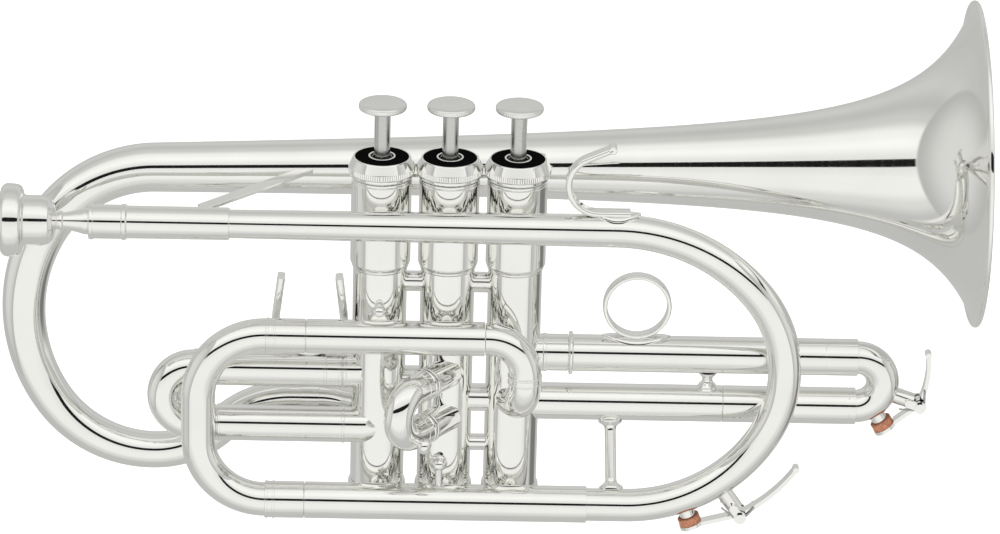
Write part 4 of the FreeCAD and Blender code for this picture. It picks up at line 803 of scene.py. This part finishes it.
def make_inlet_elbow():
    """Down from the upper main tube, then back into the third casing."""
    outer = 5.9
    path = Path((MAIN_HIGH_END_X + PARTING, FRONT_Y, MAIN_HIGH_Z), RIGHT)
    path.run(1).bend(13.6, 90, DOWN, 2.5)
    ring_at = path.point.copy()
    path.run(4.6, 2).bend(9.6, 90, (-0.45, 1, 0), 3).run(2)
    mesh = path.tube(outer, 64)
    for drop in (0.5, 2.9):
        mesh.merge(ring_band(ring_at - Vector((0, 0, drop)), UP, outer, 0.42, 0.9, 64))
    collar = pipe_outline(outer + 0.2, outer - 0.1, 2.6)
    mesh.merge(turned(collar, ring_at - Vector((0, 0, 3)), UP, 64, 0.15))
    mesh.shape("elbow", "root", "inlet_elbow")


make_main_slide()
make_inlet_elbow()


# ---------------- bell, crook, tail

def make_bell():
    """The flare's rows crowd towards the rim, which ends in a round bead."""
    steps = 110
    crowding = 1.9
    outside = []
    inside = []
    for index in range(steps + 1):
        from_rim = BELL_LENGTH * (1 - index / steps) ** crowding
        height = BELL_LENGTH - from_rim
        radius = bell_radius(from_rim)
        outside.append((radius, height))
        inside.append((radius - WALL, height))
    rim_r = bell_radius(0)
    bead = []
    for angle in range(-140, 141, 10):
        turn = math.radians(angle)
        r = rim_r + BEAD_R * math.cos(turn)
        h = BELL_LENGTH + BEAD_R * math.sin(turn)
        bead.append((r, min(h, BELL_LENGTH + BEAD_R * 0.75)))
    outside = [p for p in outside if p[1] < BELL_LENGTH - BEAD_R * 0.9]
    inside = [p for p in inside if p[1] < BELL_LENGTH - BEAD_R * 0.2]
    outline = outside + bead + inside[::-1]
    mesh = turned(outline, BELL_START, BELL_HEADING, around=160, soft=0)
    mesh.shape("bell_spun", "root", "bell", sharp=60)


def taper(first_r, last_r):
    """A radius that changes evenly along a path."""
    return lambda share: first_r + (last_r - first_r) * share


def make_crook():
    """Three arcs turn the tube back under the bell and a little forward."""
    path = Path(BELL_START, -BELL_HEADING)
    path.bend(47.3, 58.2, (0, -13.5, -106.5))
    path.bend(60.4, 65.3, RIGHT)
    path.bend(45.2, 56.5, RIGHT)
    path.tube(taper(bell_radius(BELL_LENGTH), CROOK_END_R), 80).shape("crook", "root", "bell_crook")
    return path.point, path.heading


def make_tail(start, heading):
    """An S of two equal arcs up to the tail's height, a straight run, and a turn into the first casing."""
    level_x = -55
    end_x = -46
    tail_r = 6.2
    ferrule = 7
    tail = Path(start, heading)
    rise = TAIL_Z - tail.point.z
    reach = level_x - tail.point.x
    turn = 2 * math.degrees(math.atan2(rise, reach))
    radius = (reach ** 2 + rise ** 2) / (4 * rise)
    tail.bend(radius, turn - math.degrees(BELL_TILT), UP, 1)
    tail.bend(radius, turn, DOWN, 1)
    tail.run(end_x - tail.point.x, 2)
    mesh = tail.tube(taper(CROOK_END_R, tail_r))
    band = pipe_outline(tail_r + 0.45, tail_r - 0.1, ferrule)
    mesh.merge(turned(band, tail.point - tail.heading * ferrule, tail.heading, 72, 0.2))
    mouth = Path(tail.point, tail.heading)
    mouth.bend(22, 30, FRONT, 3).run(4)
    mesh.merge(mouth.tube(tail_r))
    mesh.shape("tail", "root", "bell_tail")


make_bell()
make_tail(*make_crook())


# ---------------- first slide

def make_first_slide():
    """The upper leg slides over a fixed tube and the lower one inside a sleeve."""
    bore = FIRST_R - WALL
    leg_r = bore - GAP
    high_row = (FIRST_HIGH_Y, FIRST_HIGH_Z)
    low_row = (FIRST_LOW_Y, FIRST_LOW_Z)
    start = FIRST_BOW_X
    ferrule = FIRST_PARTING_X + PARTING
    sleeve_start = ferrule - 46
    leg_end = 47
    clear = 3
    elbow_r = 8
    elbow_turn = 70
    tube = pipe_outline(leg_r, leg_r - WALL, ferrule - start - clear)
    tubes = along_x(tube, (start + clear, *high_row))
    stub = Path((ferrule, *high_row), RIGHT)
    stub.run(VALVES[1] - 9 - ferrule, 2).bend(elbow_r, elbow_turn, BACK, 3)
    tubes.merge(stub.pipe(FIRST_R, leg_r - WALL))
    sleeve = Path((sleeve_start, *low_row), RIGHT)
    sleeve.run(VALVES[1] - 6.5 - sleeve_start, 4).bend(elbow_r, elbow_turn, BACK, 3)
    tubes.merge(sleeve.tube(FIRST_R))
    tubes.merge(bands_x((ferrule + 0.7,), high_row, FIRST_R, 0.25, 1))
    tubes.merge(bands_x((sleeve_start + 0.7, ferrule + 0.2), low_row, FIRST_R, 0.25, 1))
    tubes.shape("first_tubes", "root", "first_slide_tubes")

    legs = along_x(pipe_outline(FIRST_R, bore, FIRST_PARTING_X - start), (start, *high_row))
    legs.merge(bands_x((FIRST_PARTING_X - 0.8, FIRST_PARTING_X - 6.2), high_row, FIRST_R, 0.25, 1))
    collar = sleeve_start - PARTING - start
    legs.merge(along_x(leg_outline(FIRST_R, leg_r, collar, leg_end), (start, *low_row)))
    legs.shape("first_legs", "first_slide", "first_slide_legs")

    across = Vector((0, FIRST_HIGH_Y - FIRST_LOW_Y, FIRST_HIGH_Z - FIRST_LOW_Z))
    path = Path((start, *low_row), LEFT)
    path.bend(across.length / 2, 90, across, 3)
    path.bend(across.length / 2, 90, RIGHT, 3)
    path.tube(FIRST_R - 0.35).shape("first_bow", "first_slide", "first_slide_bow")


def make_thumb_saddle():
    """A flat strip bent to a U whose arms lean together, soldered on the upper leg."""
    radius = 12.4
    thickness = 2.8
    arm = 15.2
    lean = 7
    sunk = 0.4
    turn = math.radians(lean)
    base_z = FIRST_HIGH_Z + FIRST_R + radius + thickness / 2 - sunk
    base = Vector((middle("thumb_saddle", 0), FIRST_HIGH_Y, base_z))
    top = base + Vector((
        math.sin(turn) * arm - math.cos(turn) * radius, 0, math.sin(turn) * radius + math.cos(turn) * arm))
    path = Path(top, (-math.sin(turn), 0, -math.cos(turn)))
    path.run(arm, 3)
    for towards in (RIGHT, UP):
        path.bend(radius, 90 + lean, towards, 4)
    path.run(arm, 3)
    path.strip(7, thickness, BACK, 1.2).shape("saddle", "first_slide", "thumb_saddle")


make_first_slide()
make_thumb_saddle()


# ---------------- second slide

def second_point(along, height):
    """A point on the second slide's plane, at a distance from the second valve's axis."""
    return Vector((SECOND_OFFSET + SECOND_WAY.x * along, SECOND_WAY.y * along, height))


def make_second_slide():
    bore = SECOND_R - WALL
    leg_r = bore - GAP
    sleeve_start = 8
    leg_start = 14
    bow_run = 3.6
    sleeves = Mesh()
    legs = Mesh()
    for height in (SECOND_HIGH_Z, SECOND_LOW_Z):
        length = SECOND_PARTING - sleeve_start
        sleeves.merge(turned([
            (bore, 0), (SECOND_R, 0), (SECOND_R, length - 1.6), (SECOND_R + 0.35, length - 1.3),
            (SECOND_R + 0.35, length - 0.3), (SECOND_R + 0.1, length), (bore, length),
        ], second_point(sleeve_start, height), SECOND_WAY, 72, 0.15))
        collar = SECOND_PARTING + PARTING - leg_start
        reach = SECOND_BOW_START - leg_start
        legs.merge(turned([
            (leg_r - WALL, 0), (leg_r, 0), (leg_r, collar), (SECOND_R, collar),
            (SECOND_R + 0.3, collar + 0.3), (SECOND_R + 0.3, collar + 1.1), (SECOND_R, collar + 1.5),
            (SECOND_R, reach), (leg_r - WALL, reach),
        ], second_point(leg_start, height), SECOND_WAY, 72, 0.15))
    sleeves.shape("second_sleeves", "root", "second_slide_sleeves")
    legs.shape("second_legs", "second_slide", "second_slide_legs")
    radius = (SECOND_HIGH_Z - SECOND_LOW_Z) / 2
    path = Path(second_point(SECOND_BOW_START, SECOND_LOW_Z), SECOND_WAY)
    path.run(bow_run).bend(radius, 90, UP, 3).bend(radius, 90, -SECOND_WAY, 3).run(bow_run)
    path.tube(SECOND_BOW_R).shape("second_bow", "second_slide", "second_slide_bow")

    angle = math.radians(-40)
    centre_z = (SECOND_HIGH_Z + SECOND_LOW_Z) / 2
    base = second_point(
        SECOND_BOW_START + bow_run + radius * math.cos(angle), centre_z + radius * math.sin(angle))
    knob = turned([
        (0, 3), (1.2, 3), (1.2, 7.3), (2.5, 8), (3.05, 9.2), (2.95, 10.6), (2.1, 11.5), (0, 11.9),
    ], base, (0.87, -0.24, -0.42), 64, 0.6)
    knob.shape("second_knob", "second_slide", "second_slide_knob")


make_second_slide()


# ---------------- third slide

def make_third_slide():
    """The upper sleeve slides over a fixed tube and the lower leg inside one."""
    bore = THIRD_R - WALL
    leg_r = bore - GAP
    notch = 0.12
    valve = VALVES[3] + 6
    high_row = (0, THIRD_HIGH_Z)
    low_row = (0, THIRD_LOW_Z)
    stub_end = THIRD_BOW_X - 8 - valve
    collar = THIRD_HIGH_PARTING_X - valve
    tubes = along_x(leg_outline(THIRD_R, leg_r, collar, stub_end), (valve, *high_row))
    tubes.merge(along_x(pipe_outline(THIRD_R, bore, THIRD_LOW_PARTING_X - valve), (valve, *low_row)))
    tubes.merge(bands_x((THIRD_HIGH_PARTING_X - 8.6,), high_row, THIRD_R, 0.3, 1.4))
    tubes.shape("third_tubes", "root", "third_slide_tubes")

    start = THIRD_HIGH_PARTING_X + PARTING
    length = THIRD_BOW_X - start
    bead = THIRD_R + 1.2
    sleeve = along_x([
        (bore, 0), (bead - 0.4, 0), (bead, 0.35), (bead, 1.05), (bead - 0.4, 1.4), (THIRD_R, 1.5),
        (THIRD_R, length - 12), (THIRD_R - notch, length - 11.7),
        (THIRD_R, length - 11.4), (THIRD_R, length), (bore, length),
    ], (start, *high_row), 0.2)
    sleeve.shape("third_sleeve", "third_slide", "third_slide_sleeve")

    leg_start = VALVES[3] + 14
    parting = THIRD_LOW_PARTING_X + PARTING - leg_start
    end = THIRD_BOW_X - leg_start
    leg = along_x([
        (leg_r - WALL, 0), (leg_r, 0), (leg_r, parting), (THIRD_R, parting), (THIRD_R, end - 2.7),
        (THIRD_R - notch, end - 2.4), (THIRD_R, end - 2.1), (THIRD_R, end), (leg_r - WALL, end),
    ], (leg_start, *low_row))
    leg.shape("third_leg", "third_slide", "third_slide_leg")

    radius = (THIRD_HIGH_Z - THIRD_LOW_Z) / 2
    path = Path((THIRD_BOW_X, *low_row), RIGHT)
    path.bend(radius, 90, UP, 3).bend(radius, 90, LEFT, 3)
    path.tube(THIRD_BOW_R).shape("third_bow", "third_slide", "third_slide_bow")


def leaf(x, y, tube_z, tube_r, thickness, half_length, half_width):
    """A thin plate with pointed ends, curved over a tube along X, thinner towards its long edges."""
    radius = (half_length ** 2 + half_width ** 2) / (2 * half_width)
    shift = radius - half_width
    rows = 40
    across = 24
    rings = []
    for index in range(rows + 1):
        along = -half_length + 2 * half_length * index / rows
        along = math.copysign(abs(along) - 0.02, along)
        half = math.sqrt(radius ** 2 - along ** 2) - shift
        edge = math.asin(min(half / tube_r, 0.95))
        turns = [-edge + 2 * edge * side / across for side in range(across + 1)]
        above = [tube_r + thickness * (1 - (side / across * 2 - 1) ** 8 * 0.5) for side in range(across + 1)]
        under = [tube_r - 0.1] * (across + 1)
        rings.append([
            (x + along, y + reach * math.sin(turn), tube_z + reach * math.cos(turn))
            for turn, reach in zip(turns + turns[::-1], above + under)])
    return Mesh().rings(rings, capped=True)


def make_finger_ring():
    height = THIRD_HIGH_Z + THIRD_R + RING_R - 0.2
    half = RING_WIDTH / 2
    mesh = turned([
        (RING_BORE_R, -half + 0.4), (RING_BORE_R + 0.3, -half), (RING_R - 0.35, -half), (RING_R, -half + 0.7),
        (RING_R, half - 0.7), (RING_R - 0.35, half), (RING_BORE_R + 0.3, half), (RING_BORE_R, half - 0.4),
    ], (RING_X, 0, height), FRONT, 120, 0.4)
    mesh.merge(leaf(RING_X, 0, THIRD_HIGH_Z, THIRD_R, 0.8, 12.5, 4.2))
    mesh.shape("ring", "third_slide", "finger_ring")


def make_slide_guide():
    """A turned knob under the lower third tube."""
    mesh = turned([
        (0, 6), (3.6, 6), (3.5, 7.2), (3, 7.9), (2.2, 8.7), (1.9, 9.4), (1.9, 10.2), (2.3, 11.1),
        (3.2, 12), (3.5, 12.6), (3.6, 12.9), (0, 12.9),
    ], (96, 0, THIRD_LOW_Z), UP, 64, 0.3)
    mesh.shape("guide", "root", "slide_guide")


make_third_slide()
make_finger_ring()
make_slide_guide()


# ---------------- braces, posts, finger hook

def ball(centre, radius):
    angles = [math.pi * step / 24 for step in range(1, 24)]
    outline = [(radius * math.sin(turn), -radius * math.cos(turn)) for turn in angles]
    return turned([(0, -radius)] + outline + [(0, radius)], centre, UP, 48, 0)


def make_mounts():
    """Pegs from the casings to the tubes beside them, and a slanted rod to the lower main tube."""
    mesh = Mesh()
    for valve in (1, 3):
        x = VALVES[valve]
        lead_mount = [(0, 0), (3.4, 0), (3.4, 1), (2.6, 1.8), (2.6, 6), (0, 6)]
        mesh.merge(turned(lead_mount, (x, FRONT_Y + 5.2, LEAD_Z), BACK, 48, 0.3))
        mesh.merge(peg(3.6, 9, (x, 9, 47.5), BACK))
        mesh.merge(peg(1.6, 3.5, (x, FRONT_Y + 5, -64.2), BACK))
    for valve, lift in ((1, 5), (2, 0)):
        mesh.merge(peg(3, 6.4, (VALVES[valve], FRONT_Y + 3, MAIN_HIGH_Z + lift), BACK))
    mesh.merge(ball((VALVES[1], FRONT_Y + 5.3, MAIN_HIGH_Z + 7.7), 2.7))
    x, y, z = -1.8, -12.2, -54
    foot = [(0, 0), (2.4, 0), (3.1, 0.5), (3.2, 1.2), (3.2, 3.4), (0, 3.4)]
    mesh.merge(turned(foot, (x, y, z), BACK, 64, 0.3))
    mesh.merge(peg(1.25, 11, (x, -12.4, z), (0, -0.36, -1), 0.2))
    mesh.merge(ball((x, y, z), 2.6))
    mesh.shape("mounts", "root", "tube_mounts")


def make_post_brace():
    """A thin post with a wide foot at each end, alike from both ends."""
    top = Vector((60.6, 0, THIRD_LOW_Z))
    foot = Vector((61.6, FRONT_Y, MAIN_LOW_Z))
    span = foot - top
    first = THIRD_R - 0.8
    last = span.length - BEND_TUBE_R + 0.8
    foot_profile = (
        (0, 0), (4.4, 0), (4.4, 1.3), (4.1, 1.8), (3.4, 2.2), (2.5, 2.9), (2.15, 3.6), (2.05, 4.4),
    )
    outline = [(radius, first + height) for radius, height in foot_profile]
    outline += [(radius, last - height) for radius, height in reversed(foot_profile)]
    mesh = turned(outline, top, span, 64, 0.3)
    mesh.shape("brace_post", "root", "post_brace")


def make_bell_brace():
    """A flat bar from the leadpipe back to the bell."""
    start = Vector((low("bell_brace", 0) + 1.74, low("bell_brace", 1) + 1.72, low("bell_brace", 2) + 0.9))
    end = start + Vector((37.5, 30, 3.6))
    span = end - start
    path = Path(start, span)
    path.run(span.length, 6)
    bar = path.strip(5, 1.6, Vector((-span.y, span.x, 0)), 0.5)
    bar.shape("brace_bar", "root", "bell_brace")


def make_finger_hook():
    """A strip that rises from a leaf on the leadpipe, curls back, and ends in a small roll."""
    radius = 10.8
    sweep = 156
    foot = 11.6
    tip = 9.7
    middle_x = high("finger_hook", 0) - 15.5
    tube_r = LEAD_FIRST_R + (BEND_TUBE_R - LEAD_FIRST_R) * (middle_x - LEAD_X) / (BEND_X - LEAD_X)
    low_z = LEAD_Z + tube_r + 0.9
    path = Path((middle_x + foot, FRONT_Y, low_z), LEFT)
    path.run(foot, 3).bend(radius, 90, UP, 4).bend(radius, sweep - 90, RIGHT, 4).run(tip, 3)
    mesh = path.strip(5.2, 2.3, BACK, 1)
    roll = [(0, -2.6), (1.3, -2.6), (1.55, -2.3), (1.55, 2.3), (1.3, 2.6), (0, 2.6)]
    mesh.merge(turned(roll, path.point, BACK, 48, 0.3))
    mesh.merge(leaf(middle_x + 6.9, FRONT_Y, LEAD_Z, tube_r - 0.05, 1.2, 8.5, 4))
    mesh.shape("hook", "root", "finger_hook")


make_mounts()
make_post_brace()
make_bell_brace()
make_finger_hook()


# ---------------- carried-over CAD nodes

for subpart in frame["record"]["subparts"]:
    node = frame["nodes"][subpart["node"]]
    node.data.materials.clear()
    node.data.materials.append(MATERIALS[subpart["material_slot"]])
    if not node.hide_render:
        set_normals(node, 30)


# ---------------- studio

def math_node(tree, operation, first, second=None, third=None):
    node = add(tree, "ShaderNodeMath", operation=operation)
    for socket, value in zip(node.inputs, (first, second, third)):
        if isinstance(value, (int, float)):
            socket.default_value = value
        elif value is not None:
            tree.links.new(value, socket)
    return node.outputs[0]


def step_up(tree, value, start, end):
    """0 up to start and 1 from end, smooth between."""
    return remap(tree, value, start, end, kind="SMOOTHSTEP")


def window(tree, value, start, end, soft):
    """1 between start and end, 0 outside."""
    rising = step_up(tree, value, start - soft, start + soft)
    falling = step_up(tree, value, end - soft, end + soft)
    return math_node(tree, "SUBTRACT", rising, falling)


def mix(tree, factor, first, second):
    """first where factor is 0, second where it is 1."""
    change = math_node(tree, "SUBTRACT", second, first)
    return math_node(tree, "MULTIPLY_ADD", change, factor, first)


# How bright the tent is at each angle about the X axis: 0 toward the front, 90 overhead, 180 behind.
TENT = (
    (-180, 0.54), (-115, 0.54), (-72, 0.56), (-50, 0.74), (-28, 0.93), (-8, 0.93), (14, 0.84), (31, 0.84),
    (58, 1.03), (76, 0.95), (100, 0.64), (124, 0.55), (150, 0.63), (180, 0.56),
)


def tent_light(tree, rise):
    """Brightness from the angle about the X axis, in radians, on either side of the lens."""
    factor = math_node(tree, "MULTIPLY_ADD", rise, 0.5 / math.pi, 0.5)
    ramp = add(tree, "ShaderNodeValToRGB")
    stops = ramp.color_ramp
    stops.interpolation = "EASE"
    while len(stops.elements) < len(TENT):
        stops.elements.new(0.5)
    for stop, (angle, level) in zip(stops.elements, TENT):
        stop.position = (angle + 180) / 360
        stop.color = (level, level, level, 1)
    tree.links.new(factor, ramp.inputs["Fac"])
    return ramp.outputs["Color"]


def make_studio_light():
    """A white tent over the table with a dark gap for the lens, level with the eye."""
    world = bpy.data.worlds.new("tent")
    world.use_nodes = True
    bpy.context.scene.world = world
    tree = world.node_tree
    place = add(tree, "ShaderNodeTexCoord")
    parts = add(tree, "ShaderNodeSeparateXYZ")
    tree.links.new(place.outputs["Generated"], parts.inputs["Vector"])
    x, y, z = parts.outputs
    side = math_node(tree, "ABSOLUTE", x)
    rise = math_node(tree, "ARCTAN2", z, math_node(tree, "MULTIPLY", y, -1))
    degree = math.pi / 180
    half_gap = 7
    room = 0.2
    lens_black = 0.012
    light = tent_light(tree, rise)
    ends = mix(tree, step_up(tree, side, 0.8, 1), 0.5, 0.74)
    light = mix(tree, step_up(tree, side, 0.785, 0.81), light, ends)
    # The room past the tent's right-hand side is dark, low down and behind.
    dim = math_node(
        tree, "MULTIPLY", window(tree, rise, -156 * degree, -100 * degree, 16 * degree),
        window(tree, x, 0.66, 0.98, 0.07))
    light = mix(tree, dim, light, room)
    slot_rows = window(
        tree, rise, (LENS_ELEVATION - half_gap) * degree, (LENS_ELEVATION + half_gap) * degree, 0.5 * degree)
    not_the_ends = step_up(tree, math_node(tree, "MULTIPLY", side, -1), -0.8, -0.78)
    slot = math_node(tree, "MULTIPLY", slot_rows, not_the_ends)
    light = mix(tree, slot, light, lens_black)
    rays = add(tree, "ShaderNodeLightPath")
    light = mix(tree, rays.outputs["Is Camera Ray"], light, 1)
    tint = add(tree, "ShaderNodeCombineColor")
    for socket, share in zip(tint.inputs, (1, 0.998, 0.982)):
        tree.links.new(math_node(tree, "MULTIPLY", light, share), socket)
    background = tree.nodes["Background"]
    tree.links.new(tint.outputs[0], background.inputs["Color"])


LENS_ELEVATION = 22.5
make_studio_light()


def make_floor():
    """A wide sheet of pale paper under the object; sizes in metres."""
    mesh = bpy.data.meshes.new("floor")
    size = 12
    height = -0.45
    corners = ((-size, -size), (size, -size), (size, size), (-size, size))
    mesh.from_pydata([(x, y, height) for x, y in corners], [], [(0, 1, 2, 3)])
    floor = in_scene("floor", mesh)
    material, tree, surface = shader("paper", 0, 0.9, (0.93, 0.93, 0.925))
    surface.inputs["Specular IOR Level"].default_value = 0
    shade = between(tree, noise(tree, 2, 2), (0.93, 0.93, 0.925), (0.945, 0.945, 0.94))
    tree.links.new(shade, surface.inputs["Base Color"])
    surface.inputs["Emission Color"].default_value = (1, 1, 1, 1)
    surface.inputs["Emission Strength"].default_value = 0.35
    mesh.materials.append(material)
    floor.visible_glossy = False


make_floor()


def make_lamp(name, location, size, power):
    """A round lamp that faces the origin; place and size in metres."""
    data = bpy.data.lights.new(name, "AREA")
    data.shape = "DISK"
    data.size = size
    data.energy = power
    lamp = in_scene(name, data)
    lamp.location = location
    lamp.rotation_mode = "QUATERNION"
    lamp.rotation_quaternion = (-Vector(location)).to_track_quat("-Z", "Y")
    lamp.visible_glossy = False


make_lamp("overhead", (0.3, -0.6, 2.4), 2.5, 30)


# ---------------- camera

def make_camera(yaw, elevation, roll, distance, aim, view_width):
    """A camera whose middle looks past the origin by aim, right and up; lengths in millimetres."""
    yaw, elevation, roll = (math.radians(angle) for angle in (yaw, elevation, roll))
    level = math.cos(elevation)
    forward = Vector((math.sin(yaw) * level, math.cos(yaw) * level, -math.sin(elevation)))
    right = forward.cross(Vector(UP)).normalized()
    up = right.cross(forward)
    right, up = (
        right * math.cos(roll) + up * math.sin(roll), up * math.cos(roll) - right * math.sin(roll))
    data = bpy.data.cameras.new("camera")
    data.sensor_width = 36
    data.lens = data.sensor_width * distance / view_width
    data.clip_start = 0.05
    data.clip_end = 50
    camera = in_scene("camera", data)
    turned_to = Matrix((right, up, -forward)).transposed().to_4x4()
    turned_to.translation = (-forward * distance + right * aim[0] + up * aim[1]) * MM
    camera.matrix_world = turned_to
    bpy.context.scene.camera = camera


make_camera(
    yaw=1.32, elevation=LENS_ELEVATION, roll=1.55, distance=1800, aim=(19.44, 17.7), view_width=364.1)
bpy.context.scene.view_settings.view_transform = "Standard"
bpy.context.scene.view_settings.look = "None"
